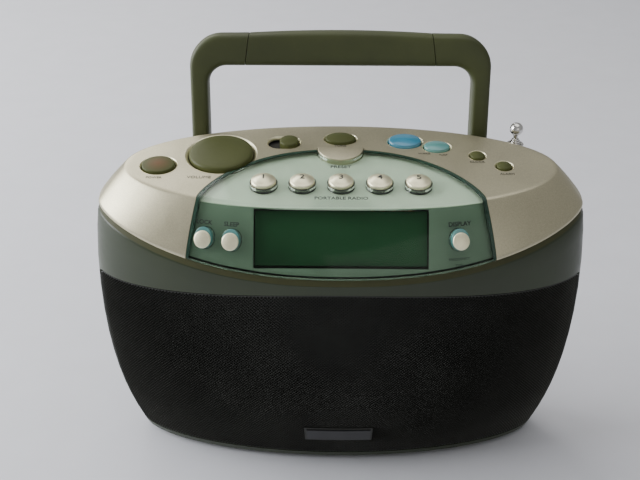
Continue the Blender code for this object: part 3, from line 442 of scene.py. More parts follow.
# Rows of the top's sheet: shares of the flat and the slope, and counts for the two soft edges
FLAT_ROWS = (0.0, 0.3, 0.55, 0.75, 0.88, 0.94)
FILLET_ROWS = 8
CREASE_END = 0.045          # share of the slope that the rounded crease takes
SLOPE_ROWS = (0.10, 0.17, 0.25, 0.35, 0.45, 0.55, 0.65, 0.75, 0.85, 0.92)
EDGE_ROWS = 4
TOP_ROWS = len(FLAT_ROWS) + FILLET_ROWS + 1 + len(SLOPE_ROWS) + EDGE_ROWS + 1


def top_point(angle, row):
    """Rows run from the middle of the flat, over the crease and down to the rim's lip."""
    if row < len(FLAT_ROWS):
        return crease_point(angle, FLAT_ROWS[row])
    row -= len(FLAT_ROWS)
    if row <= FILLET_ROWS:
        start = crease_point(angle, sizes().crease_start)
        return bezier(start, crease_point(angle), slope_point(angle, CREASE_END), row / FILLET_ROWS)
    row -= FILLET_ROWS + 1
    if row < len(SLOPE_ROWS):
        return slope_point(angle, SLOPE_ROWS[row])
    row -= len(SLOPE_ROWS)
    return bezier(slope_point(angle, 0.965), lip_point(angle, RIM_LIP * 0.95), lip_point(angle, 0.0),
                  row / EDGE_ROWS)


def top_sheet(name, thickness):
    """The skin of the top, with its wall."""
    def place(across, up):
        return top_point(2 * math.pi * across, TOP_ROWS - 1 - round(up * (TOP_ROWS - 1)))

    piece = grid_sheet(name, AROUND, TOP_ROWS - 1, place)
    apply_modifier(piece, "SOLIDIFY", thickness=thickness, offset=-1.0, use_even_offset=True)
    return piece


FLAT_TURN = Matrix.Rotation(math.atan(TOP_RISE), 4, "X")


def on_flat(x, depth, rise=0.0):
    """A place on the flat, its Z along the flat's normal."""
    y = TIP_Y + depth
    return Matrix.Translation((x, y, flat_height(y))) @ FLAT_TURN @ Matrix.Translation((0, 0, rise))


def on_slope(x, z, rise=0.0):
    """A place on the sloping face, its Z along the normal and its X level."""
    angle, share = math.asin(x / TOP_HALF_WIDTH * 0.93), 0.5
    for _ in range(SEARCH_STEPS):
        point = slope_point(angle, share)
        angle += (x - point.x) / HALF_WIDTH
        share += (point.z - z) / SLOPE_LENGTH
    point = slope_point(angle, share)
    across = slope_point(angle + 0.01, share) - slope_point(angle - 0.01, share)
    down = slope_point(angle, share + 0.02) - slope_point(angle, share - 0.02)
    normal = down.cross(across).normalized()
    if normal.z < 0:
        normal = -normal
    level = Vector((0, 0, 1)).cross(normal).normalized()
    turn = Matrix((level, normal.cross(level), normal)).transposed().to_4x4()
    return Matrix.Translation(point) @ turn @ Matrix.Translation((0, 0, rise))


def node_box(node):
    """The low corner, high corner and middle of a frame node's box."""
    low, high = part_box(node)
    return low, high, (low + high) / 2


def key_place(node):
    """The place of a key on the flat, read from its node's box."""
    middle = node_box(node)[2]
    normal = FLAT_TURN.to_3x3() @ Vector((0, 0, 1))
    away = (flat_height(middle.y) - middle.z) * normal.z
    point = middle + normal * away
    return on_flat(point.x, point.y - TIP_Y)


# Outlines -----------------------------------------------------------------------------------
def arch_share(share):
    """Height of the window's arch over its corners, share running from -1 to 1."""
    return (1 - abs(share) ** ARCH_POWER) ** ARCH_ROUND


def window_outline(margin, steps=64):
    """The window from above: its arch, its flaring sides and a front well past the rim."""
    half = WINDOW_HALF_WIDTH - margin
    rise = WINDOW_APEX - WINDOW_CORNER
    corner = TIP_Y + WINDOW_CORNER
    arch = []
    for i in range(steps + 1):
        share = math.sin(math.pi * (i / steps - 0.5))
        arch.append((half * share, corner + rise * arch_share(share) - margin))
    foot = WINDOW_FOOT_HALF_WIDTH - margin
    foot_y = TIP_Y + WINDOW_FOOT
    flare = foot + WINDOW_FOOT_HALF_WIDTH - WINDOW_HALF_WIDTH
    front = foot_y + WINDOW_FOOT - WINDOW_CORNER
    far = TIP_Y - 80 * MM
    return arch + [(foot, foot_y), (flare, front), (flare, far), (-flare, far), (-flare, front),
                   (-foot, foot_y)]


def window_prism(margin):
    """The window's outline as an upright cutter, smaller all round by a margin."""
    return prism("window_shape", window_outline(margin), 60 * MM, 190 * MM)


def tab_outline(margin=0.0):
    """A half disc at the window's apex, its straight side to the rear."""
    return arc((0.0, WINDOW_APEX + 0.8 * MM - margin), TAB_RADIUS - margin, 180, 360, 40)


def grille_top(x):
    """Height of the grille's upper edge, its corners still square."""
    u = min(1.0, abs(x) / GRILLE_HALF_WIDTH)
    return rim_height(u, True) - GRILLE_MIDDLE_DROP - (GRILLE_END_DROP - GRILLE_MIDDLE_DROP) * u * u


def front_length_table(count=400):
    """Shares of the way along the front, from the left end to the right, against their angles."""
    limit = math.acos((-GRILLE_SIDE / FRONT_BULGE) ** (0.5 / FRONT_POWER))
    angles = [-limit + 2 * limit * i / count for i in range(count + 1)]
    lengths = [0.0]
    for a, b in zip(angles, angles[1:]):
        lengths.append(lengths[-1] + (wall_point(b, 0.7) - wall_point(a, 0.7)).length)
    return angles, lengths


FRONT_ANGLES, FRONT_LENGTHS = front_length_table()


def front_angle(share):
    """The angle at a share of the grille's length across the front."""
    wanted = share * FRONT_LENGTHS[-1]
    for i, length in enumerate(FRONT_LENGTHS[1:], start=1):
        if length >= wanted:
            part = (wanted - FRONT_LENGTHS[i - 1]) / (length - FRONT_LENGTHS[i - 1])
            before, after = FRONT_ANGLES[i - 1], FRONT_ANGLES[i]
            return before + (after - before) * part
    return FRONT_ANGLES[-1]


def grille_edge(share, margin=0.0):
    """Angle and height of the grille's upper edge, its two ends rounded off."""
    angle = front_angle(share)
    from_end = min(share, 1 - share) * FRONT_LENGTHS[-1]
    corner = 0.0
    if from_end < GRILLE_CORNER:
        corner = GRILLE_CORNER - math.sqrt(GRILLE_CORNER ** 2 - (GRILLE_CORNER - from_end) ** 2)
    return angle, grille_top(HALF_WIDTH * math.sin(angle)) - corner - margin


def share_at(angle, z):
    """How far up the wall a height is."""
    rim = rim_height(math.sin(angle), math.cos(angle) >= 0)
    return (z - BASE_Z) / (rim - BASE_Z)


# Materials ----------------------------------------------------------------------------------
def set_inputs(node, **values):
    """Set a node's inputs, with _ for the spaces in their names."""
    for name, value in values.items():
        node.inputs[name.replace("_", " ")].default_value = value


def shaded(colour, factor):
    """A colour made brighter or darker."""
    return tuple(min(1.0, channel * factor) for channel in colour)


class Finish:
    """A material while it is made: its shader and the patterns that drive it."""

    def __init__(self, name, colour, roughness, metallic=0.0):
        self.material = bpy.data.materials.new(name)
        self.material.use_nodes = True
        self.nodes, self.links = self.material.node_tree.nodes, self.material.node_tree.links
        self.shader = self.nodes["Principled BSDF"]
        set_inputs(self.shader, Base_Color=(*colour, 1.0), Roughness=roughness, Metallic=metallic)
        self.place = self.nodes.new("ShaderNodeTexCoord").outputs["Object"]

    def add(self, kind, source, into, **values):
        """A new node, fed by a source."""
        node = self.nodes.new("ShaderNode" + kind)
        set_inputs(node, **values)
        self.links.new(source, node.inputs[into])
        return node

    def noise(self, scale, detail=2.0, roughness=0.5):
        return self.add("TexNoise", self.place, "Vector", Scale=scale, Detail=detail,
                        Roughness=roughness).outputs["Fac"]

    def spread(self, pattern, low, high, from_low=0.3, from_high=0.7):
        """A pattern's middle range, spread between two values."""
        return self.add("MapRange", pattern, "Value", To_Min=low, To_Max=high, From_Min=from_low,
                        From_Max=from_high).outputs["Result"]

    def tone(self, pattern, colour, *stops):
        """Colour the shader by a pattern: each stop is a position and a factor."""
        ramp = self.add("ValToRGB", pattern, "Fac")
        for element, (position, factor) in zip(ramp.color_ramp.elements, stops):
            element.position = position
            element.color = (*shaded(colour, factor), 1.0)
        self.links.new(ramp.outputs["Color"], self.shader.inputs["Base Color"])

    def shine(self, pattern, low, high):
        """Let a pattern change the roughness between two values."""
        self.links.new(self.spread(pattern, low, high), self.shader.inputs["Roughness"])

    def grain(self, pattern, strength, distance):
        """Let a pattern stand out as fine relief."""
        bump = self.add("Bump", pattern, "Height", Strength=strength, Distance=distance)
        self.links.new(bump.outputs["Normal"], self.shader.inputs["Normal"])

    def glow(self, colour, centre, radius):
        """Warm the colour round a centre, fading out over a radius."""
        base = self.shader.inputs["Base Color"]
        away = self.nodes.new("ShaderNodeVectorMath")
        away.operation = "DISTANCE"
        away.inputs[1].default_value = centre
        self.links.new(self.place, away.inputs[0])
        share = self.spread(away.outputs["Value"], 0.65, 0.0, 0.0, radius)
        mixed = self.add("MixRGB", share, "Fac", Color2=(*colour, 1.0))
        self.links.new(base.links[0].from_socket, mixed.inputs["Color1"])
        self.links.new(mixed.outputs["Color"], base)


def moulded(name, colour, roughness, grain=900.0, grain_depth=0.03, metallic=0.0, cloud=0.12,
            coat=0.0, specular=0.5, glow=None):
    """Moulded or painted plastic: fine grain, a faint cloud of tone and uneven shine."""
    finish = Finish(name, colour, roughness, metallic)
    finish.tone(finish.noise(38.0, 4.0, 0.6), colour, (0.3, 1 - cloud), (0.7, 1 + cloud))
    finish.shine(finish.noise(140.0, 5.0, 0.65), roughness - 0.05, roughness + 0.05)
    finish.grain(finish.noise(grain, 3.0), grain_depth * 10, 0.06 * MM)
    set_inputs(finish.shader, Coat_Weight=coat, Specular_IOR_Level=specular)
    if glow:
        finish.glow(*glow)
    return finish.material


def metallic_paint(name, colour):
    """Silver paint: tiny flakes of different brightness under a satin coat."""
    finish = Finish(name, colour, 0.36, 0.85)
    flakes = finish.add("TexVoronoi", finish.place, "Vector", Scale=3600.0)
    grey = finish.add("SeparateColor", flakes.outputs["Color"], "Color")
    finish.tone(grey.outputs["Red"], colour, (0.0, 0.90), (1.0, 1.08))
    finish.shine(finish.noise(60.0, 5.0, 0.6), 0.32, 0.42)
    finish.grain(finish.noise(1500.0, 2.0), 0.12, 0.04 * MM)
    set_inputs(finish.shader, Coat_Weight=0.15, Coat_Roughness=0.3)
    return finish.material


def clear_plastic(name, colour, roughness=0.06, tone=0.04):
    """Tinted clear plastic with faint flow lines and fine scratches in its polish."""
    finish = Finish(name, colour, roughness)
    set_inputs(finish.shader, Transmission_Weight=1.0, IOR=1.22)
    finish.tone(finish.noise(22.0, 3.0), colour, (0.35, 1 - tone), (0.65, 1 + tone))
    finish.shine(finish.noise(90.0, 6.0, 0.7), roughness * 0.8, roughness * 1.25)
    return finish.material


def bright_metal(name, colour, roughness, streak=0.05):
    """Plated or brushed metal with faint draw marks along Z."""
    finish = Finish(name, colour, roughness, 1.0)
    stretch = finish.add("Mapping", finish.place, "Vector", Scale=(1.0, 1.0, 0.04))
    marks = finish.add("TexNoise", stretch.outputs["Vector"], "Vector", Scale=1600.0, Detail=4.0)
    finish.shine(marks.outputs["Fac"], max(0.03, roughness - streak), roughness + streak)
    finish.tone(marks.outputs["Fac"], colour, (0.3, 0.93), (0.7, 1.05))
    return finish.material


def liquid_crystal(name, colour):
    """A dark display: fine cell lines over a slow change of tone."""
    finish = Finish(name, colour, 0.3)
    set_inputs(finish.shader, Specular_IOR_Level=0.02)
    finish.tone(finish.noise(30.0, 3.0, 0.5), colour, (0.3, 0.8), (0.7, 1.25))
    lines = finish.add("TexWave", finish.place, "Vector", Scale=420.0, Distortion=0.3)
    finish.shine(lines.outputs["Fac"], 0.26, 0.36)
    return finish.material


FINISHES = {}
POWER_LAMP = (-80.2 * MM, 4.0 * MM, 1.4 * MM)       # x, depth and rise of the power key's middle
LAMP_REACH = 6.5 * MM


def make_finishes():
    """Every finish of the radio, by the name of its slot."""
    tint = colours()
    FINISHES.update({
        "olive_plastic": moulded("olive_plastic", tint.olive, 0.34, 1100, 0.012, specular=0.45),
        "power_key": moulded("power_key", tint.key, 0.5, 1200, 0.015, cloud=0.08, specular=0.25,
                             glow=(tint.lamp, on_flat(*POWER_LAMP).translation, LAMP_REACH)),
        # Painted highlight: the bevel under the rim is the cabinet's own olive, drawn lighter as if
        # lit, with a duller shine.
        "rim_strip_highlight": moulded("rim_strip_highlight", tint.strip, 0.55, 1200, 0.02, specular=0.3),
        "olive_key": moulded("olive_key", tint.key, 0.5, 1200, 0.015, cloud=0.08, specular=0.25),
        "handle_plastic": moulded("handle_plastic", tint.handle, 0.5, 700, 0.05, cloud=0.18),
        "silver_plastic": metallic_paint("silver_paint", tint.silver),
        # A brighter copy of the silver paint: the keys' own lighter silver, and a painted highlight on
        # the rims of the top's openings.
        "key_silver_and_rim_highlight": metallic_paint("key_silver_and_rim_highlight", shaded(tint.silver, 1.9)),
        "green_window": clear_plastic("green_window", tint.glass),
        "mint_plate": moulded("mint_plate", tint.plate, 0.5, 500, 0.01, cloud=0.05),
        "surround": moulded("surround", tint.surround, 0.5, 500, 0.01, cloud=0.08),
        "blue_plastic": moulded("blue_plastic", tint.blue, 0.2, 300, 0.005, cloud=0.25, coat=0.6),
        "teal_plastic": moulded("teal_plastic", tint.teal, 0.22, 300, 0.005, cloud=0.2, coat=0.6),
        "black_grille": moulded("black_grille", tint.grille, 0.42, 1500, 0.02, metallic=0.6, cloud=0.2),
        "window_groove_shade": moulded("window_groove_shade", tint.groove, 0.3, 900, 0.01, cloud=0.1),
        "dark_plastic": moulded("dark_plastic", tint.dark, 0.4, 900, 0.02, cloud=0.15),
        "lcd_glass": liquid_crystal("lcd_glass", tint.lcd),
        "chrome": bright_metal("chrome", (0.72, 0.71, 0.69), 0.10, 0.04),
        "steel": bright_metal("steel", (0.46, 0.46, 0.45), 0.34, 0.1),
        "rubber": moulded("rubber", (0.018, 0.018, 0.018), 0.85, 600, 0.08),
        "circuit_board": moulded("circuit_board", (0.03, 0.13, 0.05), 0.45, 500, 0.04, cloud=0.3),
        "cell_jacket": moulded("cell_jacket", (0.03, 0.05, 0.12), 0.3, 300, 0.01, coat=0.3),
        "ferrite": moulded("ferrite", (0.04, 0.038, 0.036), 0.75, 1400, 0.1, cloud=0.3),
        "iron": moulded("iron", (0.12, 0.11, 0.11), 0.45, 1200, 0.06, metallic=0.6, cloud=0.25),
        "copper": bright_metal("copper", (0.60, 0.26, 0.12), 0.28, 0.08),
        "paper_cone": moulded("paper_cone", (0.025, 0.024, 0.022), 0.85, 1800, 0.12, cloud=0.3),
        "ink": moulded("ink", tint.ink, 0.6, 1500, 0.01, cloud=0.1),
    })


# Stage --------------------------------------------------------------------------------------
CAMERA_PLACE = Vector((-7.06 * MM, TIP_Y - 395.33 * MM, 326.84 * MM))
CAMERA_AIM = Vector((-0.00426, 0.87181, -0.48983))
CAMERA_ROLL = math.radians(0.21)
CAMERA_LENS = 56.25


def add_light(name, place, aim, size, power, colour):
    data = bpy.data.lights.new(name, "AREA")
    data.shape = "RECTANGLE"
    data.size, data.size_y = size
    data.energy = power
    data.color = colour
    light = bpy.data.objects.new(name, data)
    bpy.context.scene.collection.objects.link(light)
    light.location = place
    light.rotation_euler = (Vector(aim) - Vector(place)).to_track_quat("-Z", "Y").to_euler()
    return light


# name, place, aim, size, power, colour
LIGHTS = (("window_light", (-1.15, 0.05, 0.55), (0, 0, 0.1), (1.0, 0.8), 25.0, (0.98, 0.99, 1.0)),
          ("back_light", (-0.75, 0.95, 0.95), (0, 0, 0.1), (1.1, 0.8), 10.0, (1.0, 0.98, 0.95)),
          ("top_light", (0.1, 0.1, 1.5), (0, 0, 0), (1.6, 1.2), 7.5, (1.0, 0.98, 0.96)),
          ("front_fill", (0.4, -1.1, 0.5), (0, 0, 0.08), (0.9, 0.6), 1.0, (1.0, 0.97, 0.92)))
SKY_COLOUR = (0.92, 0.92, 0.91, 1.0)
SKY_STRENGTH = 0.37


class RADIO_OT_stage(bpy.types.Operator):
    """Set up the pale floor, the soft lights and the camera."""

    bl_idname = "radio.stage"
    bl_label = "Stage"

    def execute(self, context):
        deselect()
        bpy.ops.mesh.primitive_plane_add(size=8.0)
        floor = context.object
        floor.name = "floor"
        floor.data.materials.append(moulded("floor", colours().floor, 0.75, 60, 0.02, cloud=0.02))
        world = bpy.data.worlds.new("studio")
        world.use_nodes = True
        sky = world.node_tree.nodes["Background"]
        sky.inputs["Color"].default_value = SKY_COLOUR
        sky.inputs["Strength"].default_value = SKY_STRENGTH
        context.scene.world = world
        for light in LIGHTS:
            add_light(*light)
        data = bpy.data.cameras.new("camera")
        data.lens = CAMERA_LENS
        data.sensor_width = 36.0
        data.clip_start = 0.01
        camera = bpy.data.objects.new("camera", data)
        context.scene.collection.objects.link(camera)
        camera.location = CAMERA_PLACE
        turn = CAMERA_AIM.to_track_quat("-Z", "Y").to_matrix().to_4x4()
        camera.rotation_euler = (turn @ Matrix.Rotation(CAMERA_ROLL, 4, "Z")).to_euler()
        context.scene.camera = camera
        return {"FINISHED"}


# Silver top, window and display ---------------------------------------------------------------
# Half width, half depth and rise of each key on the flat, in millimetres
TOP_KEYS = {"power_button": (7.4, 6.6, 1.4), "tone_button": (6.9, 4.6, 1.4),
            "wake_button": (7.4, 5.4, 1.6), "nap_button": (5.8, 4.2, 1.4),
            "clock_button": (3.2, 3.2, 1.2), "alarm_button": (3.3, 3.3, 1.2)}
PRESETS = tuple(f"preset_button_{i}" for i in range(1, 6))
PRESET_RADIUS = 5.7 * MM
PRESET_RISE = 3.1 * MM
PRESET_DOME = (PRESET_RADIUS - 0.25 * MM, 0.8 * MM, 1.5 * MM, 2.3)     # radius, edge, dome, power
SLOPE_KEYS = {"lock_button": (-57.4 * MM, 122.4 * MM), "sleep_button": (-45.8 * MM, 122.4 * MM),
              "display_button": (49.4 * MM, 122.8 * MM)}
SLOPE_HALF = (3.7 * MM, 4.6 * MM)
KNOB_RADIUS = 14.4 * MM
SWITCH_RADIUS = 4.4 * MM
SWITCH_TRAVEL = 4.6 * MM
KNOB_RIM = 1.5 * MM
KEY_RIM = 0.7 * MM
CUT_REACH = 9 * MM          # a cutter reaches this far above and below the surface


def switch_outline(reach):
    """The slide switch's opening, from its right stop to its left one."""
    return (arc((0, 0), reach, -90, 90, 16)
            + arc((-SWITCH_TRAVEL - GAP, 0), reach, 90, 270, 16))


def cutter(outline, place):
    """An outline that cuts through the surface at a place."""
    return prism("cutter", outline, -CUT_REACH, CUT_REACH, place)


def knob_cutter(reach):
    return cutter(oval_outline(reach, reach, 96), key_place("volume_knob"))


def tab_cutter():
    return cutter(tab_outline(-GAP), on_flat(0.0, 0.0))


def cutters_for_flat():
    """Cutters for the flat's openings, each as wide as the sloping rim that lines it."""
    made = [knob_cutter(KNOB_RADIUS + GAP + KNOB_RIM)]
    for node, (half_x, half_y, _) in TOP_KEYS.items():
        outline = oval_outline(half_x * MM + GAP + KEY_RIM, half_y * MM + GAP + KEY_RIM)
        made.append(cutter(outline, key_place(node)))
    made.append(cutter(switch_outline(SWITCH_RADIUS + GAP + KEY_RIM), key_place("slide_switch")))
    return made + [tab_cutter()]


def cutters_for_window():
    """Cutters for the keys that stand in the window."""
    reach = PRESET_RADIUS + GAP
    made = [cutter(oval_outline(reach, reach), key_place(node)) for node in PRESETS]
    for x, z in SLOPE_KEYS.values():
        made.append(cutter(oval_outline(SLOPE_HALF[0] + GAP, SLOPE_HALF[1] + GAP), on_slope(x, z)))
    return made + [tab_cutter()]


class RADIO_OT_top_panel(bpy.types.Operator):
    """Model the silver top with its openings and their rims, painted in a brighter silver as a
    highlight.
    """

    bl_idname = "radio.top_panel"
    bl_label = "Top Panel"

    def execute(self, context):
        panel = top_sheet("silver_top", PANEL)
        cut(panel, window_prism(0.0))
        cut_all(panel, cutters_for_flat())
        done(panel, "cabinet", "silver_plastic", FINISHES["silver_plastic"], "top_panel")
        self.rims()
        return {"FINISHED"}

    def rims(self):
        """Sloping rims that line the openings, like shallow dishes."""
        reach = KNOB_RADIUS + GAP
        rings = [self.rim(oval_outline(reach, reach, 96), KNOB_RIM, 1.3 * MM,
                          key_place("volume_knob"))]
        cut(rings[0], window_prism(-GAP))
        for node, (half_x, half_y, _) in TOP_KEYS.items():
            outline = oval_outline(half_x * MM + GAP, half_y * MM + GAP, 64)
            rings.append(self.rim(outline, KEY_RIM, 0.7 * MM, key_place(node)))
        rings.append(self.rim(switch_outline(SWITCH_RADIUS + GAP), KEY_RIM, 0.9 * MM,
                              key_place("slide_switch")))
        piece = join("opening_rims", rings)
        # The rims are the top's own silver paint; their brighter silver is a painted highlight on the
        # lit slopes of the recesses.
        done(piece, "cabinet", "silver_plastic", FINISHES["key_silver_and_rim_highlight"], degrees=50)

    def rim(self, outline, width, depth, place):
        """A band along an outline: a slope down to the key, a thin edge and a closed back."""
        section = ((0.0, -depth), (0.35 * width, -0.55 * depth), (0.75 * width, -0.12 * depth),
                   (width - 0.02 * MM, 0.04 * MM), (width - 0.02 * MM, -1.6 * MM), (0.0, -1.6 * MM))
        count = len(outline)

        def lay(across, up):
            i = round(across * count) % count
            here = Vector(outline[i])
            along = Vector(outline[(i + 1) % count]) - Vector(outline[i - 1])
            out = Vector((along.y, -along.x)).normalized()
            offset, height = section[round(up * len(section)) % len(section)]
            return (here.x + out.x * offset, here.y + out.y * offset, height)

        piece = grid_sheet("opening_rim", count, len(section), lay)
        piece.data.transform(place)
        return piece


class RADIO_OT_window(bpy.types.Operator):
    """Model the clear window, a dark sheet painted as the shade in its groove, the two plates behind it
    and the display.
    """

    bl_idname = "radio.window"
    bl_label = "Window"

    def execute(self, context):
        window = top_sheet("green_window", 1.6 * MM)
        cut(window, window_prism(0.8 * MM), "INTERSECT")
        knob_reach = KNOB_RADIUS + 0.7 * MM
        cut_all(window, [knob_cutter(knob_reach)] + cutters_for_window())
        done(window, "cabinet", "green_window", FINISHES["green_window"], "display_window")

        # A dark sheet sunk in the gap round the window: painted shade where the plate lies in shadow.
        groove = top_sheet("window_groove_shade", 0.8 * MM)
        apply_modifier(groove, "DISPLACE", strength=-0.7 * MM, mid_level=0.0, direction="NORMAL")
        cut(groove, window_prism(0.1 * MM), "INTERSECT")
        cut_all(groove, [window_prism(1.5 * MM), knob_cutter(knob_reach), tab_cutter()])
        done(groove, "cabinet", "green_window", FINISHES["window_groove_shade"])

        plate = self.plate_sheet("window_plate", 0.0, 0.5)
        surround = self.plate_sheet("display_surround", 0.5, 1.0)
        for piece in (plate, surround):
            cut_all(piece, cutters_for_window())
        cut(surround, self.lcd_slab())
        done(plate, "cabinet", "mint_plate", FINISHES["mint_plate"], "display_plate")
        done(surround, "cabinet", "mint_plate", FINISHES["surround"])
        self.display()
        return {"FINISHED"}

    def plate_sheet(self, name, start, end):
        """A plate under the window: part of the top's form, lowered along its normals."""
        def deep(across, part):
            up = start + (end - start) * part
            half = WINDOW_HALF_WIDTH + 1.5 * MM
            x = half * (2 * across - 1)
            arch = WINDOW_CORNER + (WINDOW_APEX + 1.5 * MM - WINDOW_CORNER) * arch_share(x / half)
            angle = math.asin(x / TOP_HALF_WIDTH)
            if up <= 0.5:
                near = crease_point(angle).y + 1.8 * MM
                far = max(TIP_Y + arch, near + 2 * MM)
                y = far + (near - far) * up * 2
                return Vector((x, y, flat_height(y) - PLATE_DEPTH))
            point = slope_point(angle, (up - 0.5) * 2 * 0.965 + 0.02)
            normal = on_slope(point.x, point.z).to_3x3().col[2]
            return point - normal * PLATE_DEPTH

        piece = grid_sheet(name, 48, 15, deep, False)
        edit(piece, (bpy.ops.mesh.normals_make_consistent, {"inside": False}))
        apply_modifier(piece, "SOLIDIFY", thickness=0.8 * MM, offset=0.0)
        close_seams(piece)
        return piece

    def lcd_place(self):
        """The display's place on the slope and half its height along the slope."""
        place = on_slope(0.0, (LCD_TOP_Z + LCD_FOOT_Z) / 2)
        return place, (LCD_TOP_Z - LCD_FOOT_Z) / 2 / place.to_3x3().col[1].z

    def lcd_slab(self):
        """A cutter for the opening over the display."""
        place, half_height = self.lcd_place()
        high = Vector((LCD_HALF_WIDTH, half_height, 14 * MM))
        return block("lcd_slab", -high, high, place)

    def display(self):
        """The dark panel under the opening, parallel to the slope."""
        place, half_height = self.lcd_place()
        half_width = LCD_HALF_WIDTH - 0.4 * MM
        low = (-half_width, -half_height + 1.2 * MM, -9.0 * MM)
        high = (half_width, half_height - 0.4 * MM, -7.2 * MM)
        panel = block("lcd_panel", low, high, place, 0.25 * MM)
        done(panel, "cabinet", "lcd_glass", FINISHES["lcd_glass"], "lcd_module")


# Keys ---------------------------------------------------------------------------------------
def domed(rise, radius, reach, edge, dome, power=2.0):
    """Half of a key's section: a shallow dome, a rounded shoulder and a straight side."""
    points = [(0.0, rise)]
    for i in range(1, 9):
        share = i / 8
        points.append(((radius - edge) * share, rise - dome * share ** power))
    shoulder = rise - dome
    for i in range(1, 6):
        turn = math.radians(90 * i / 5)
        points.append((radius - edge + edge * math.sin(turn), shoulder - edge + edge * math.cos(turn)))
    return points + [(radius, -reach), (0.0, -reach)]


class RADIO_OT_keys(bpy.types.Operator):
    """Model the push keys, the slide switch and the half-round key."""

    bl_idname = "radio.keys"
    bl_label = "Keys"

    def execute(self, context):
        finishes = {"power_button": ("olive_plastic", "power_key"),
                    "wake_button": ("blue_plastic", "blue_plastic"),
                    "nap_button": ("teal_plastic", "teal_plastic")}
        for node, measures in TOP_KEYS.items():
            half_x, half_y, rise = (value * MM for value in measures)
            slot, finish = finishes.get(node, ("olive_plastic", "olive_key"))
            profile = domed(rise, half_x, 6 * MM, 0.7 * MM, 0.5 * MM)
            key = turned(node + "_cap", profile, key_place(node), 64, (1.0, half_y / half_x))
            done(key, node + "_key", slot, FINISHES[finish], node)
        for node in PRESETS:
            radius, edge, dome, power = PRESET_DOME
            profile = domed(PRESET_RISE, radius, 6 * MM, edge, dome, power)
            key = turned(node + "_cap", profile, key_place(node), 64)
            done(key, node + "_key", "silver_plastic", FINISHES["key_silver_and_rim_highlight"], node)
        self.collars()
        for node, (x, z) in SLOPE_KEYS.items():
            stretch = (1.0, SLOPE_HALF[1] / SLOPE_HALF[0])
            body = turned(node + "_body", domed(2.2 * MM, SLOPE_HALF[0], 5 * MM, 0.2 * MM, 0.0),
                          on_slope(x, z), 64, stretch)
            done(body, node + "_key", "teal_plastic", FINISHES["teal_plastic"], node)
            face = domed(1.05 * MM, SLOPE_HALF[0] - 0.1 * MM, 0.0, 0.5 * MM, 0.35 * MM)
            low = on_slope(x, z, 2.2 * MM) @ Matrix.Translation((0, -0.75 * MM, 0))
            cap = turned(node + "_cap", face, low, 64, (1.0, 1.04))
            done(cap, node + "_key", "silver_plastic", FINISHES["key_silver_and_rim_highlight"])
        profile = domed(1.8 * MM, SWITCH_RADIUS, 4.5 * MM, 0.8 * MM, 0.3 * MM)
        switch = turned("switch_cap", profile, key_place("slide_switch"), 56)
        done(switch, "switch_key", "olive_plastic", FINISHES["olive_key"], "slide_switch")
        tab = prism("select_cap", tab_outline(), -6 * MM, 0.8 * MM, on_flat(0.0, 0.0))
        round_edges(tab, segments=3)
        done(tab, "select_tab_key", "silver_plastic", FINISHES["silver_plastic"], "select_tab")
        # A near-black floor under the switch's slot: painted shade in the open part of the slot.
        floor = prism("switch_slot_shade", switch_outline(SWITCH_RADIUS + 1.2 * MM), -3.2 * MM, -2.6 * MM,
                      key_place("slide_switch"))
        cut(floor, cutter(oval_outline(2.2 * MM, 2.2 * MM), key_place("slide_switch")))
        done(floor, "cabinet", "dark_plastic", FINISHES["dark_plastic"])
        return {"FINISHED"}

    def collars(self):
        """Dark rings that line the window's openings round the preset keys: painted shade in the gap
        round each key.
        """
        rings = []
        inner, outer = PRESET_RADIUS - 0.12 * MM, PRESET_RADIUS + GAP - 0.02 * MM
        profile = [(inner, -2.6 * MM), (outer, -2.6 * MM), (outer, 0.12 * MM), (inner, 0.12 * MM)]
        for node in PRESETS:
            rings.append(turned("gap_shade_ring", profile, key_place(node), 64, ring=True))
        done(join("preset_gap_shade_rings", rings), "cabinet", "dark_plastic", FINISHES["dark_plastic"])


class RADIO_OT_knob(bpy.types.Operator):
    """Model the volume knob."""

    bl_idname = "radio.knob"
    bl_label = "Volume Knob"

    def execute(self, context):
        radius, rise = KNOB_RADIUS, 1.6 * MM
        profile = [(0.0, rise + 0.45 * MM), (radius * 0.4, rise + 0.4 * MM),
                   (radius * 0.75, rise + 0.25 * MM), (radius - 1.5 * MM, rise),
                   (radius - 0.5 * MM, rise - 0.35 * MM),
                   (radius - 0.1 * MM, rise - 1.0 * MM), (radius, rise - 1.6 * MM), (radius, -3.2 * MM),
                   (3.0 * MM, -3.2 * MM), (3.0 * MM, -5.2 * MM), (0.0, -5.2 * MM)]
        knob = turned("volume_knob_cap", soft_profile(profile, 0.5 * MM), key_place("volume_knob"), 96)
        done(knob, "knob", "olive_plastic", FINISHES["olive_key"], "volume_knob")
        return {"FINISHED"}


# Cabinet ------------------------------------------------------------------------------------
WALL_SHARES = (0.012, 0.03, 0.06, 0.10, 0.15, 0.21, 0.28, 0.36, 0.45, 0.55, 0.66, 0.78, 0.9, 0.965)
RIM_STRIP = 3.2 * MM        # bevelled strip of the cabinet that runs under the silver rim
FAR = 130 * MM              # past every wall of the cabinet
PAST_SIDE = 118 * MM
DOOR_LOW, DOOR_HIGH = (-50 * MM, 10 * MM, 9 * MM), (50 * MM, 60 * MM, 61 * MM)
DOOR_GAP = 0.3 * MM
INLET_LOW, INLET_HIGH = (-70.5 * MM, 10 * MM, 24.5 * MM), (-53.5 * MM, 60 * MM, 35.5 * MM)
JACK_X, JACK_Z, JACK_RADIUS = 70 * MM, 62 * MM, 4.2 * MM
VENTS, VENT_FOOT, VENT_STEP, VENT_HALF, VENT_RADIUS = 6, 84, 5.0, 16 * MM, 1.0 * MM
RIDGES, RIDGE_FOOT, RIDGE_STEP, RIDGE_HALF, RIDGE_RADIUS = 5, 46, 2.6, 9 * MM, 0.7 * MM
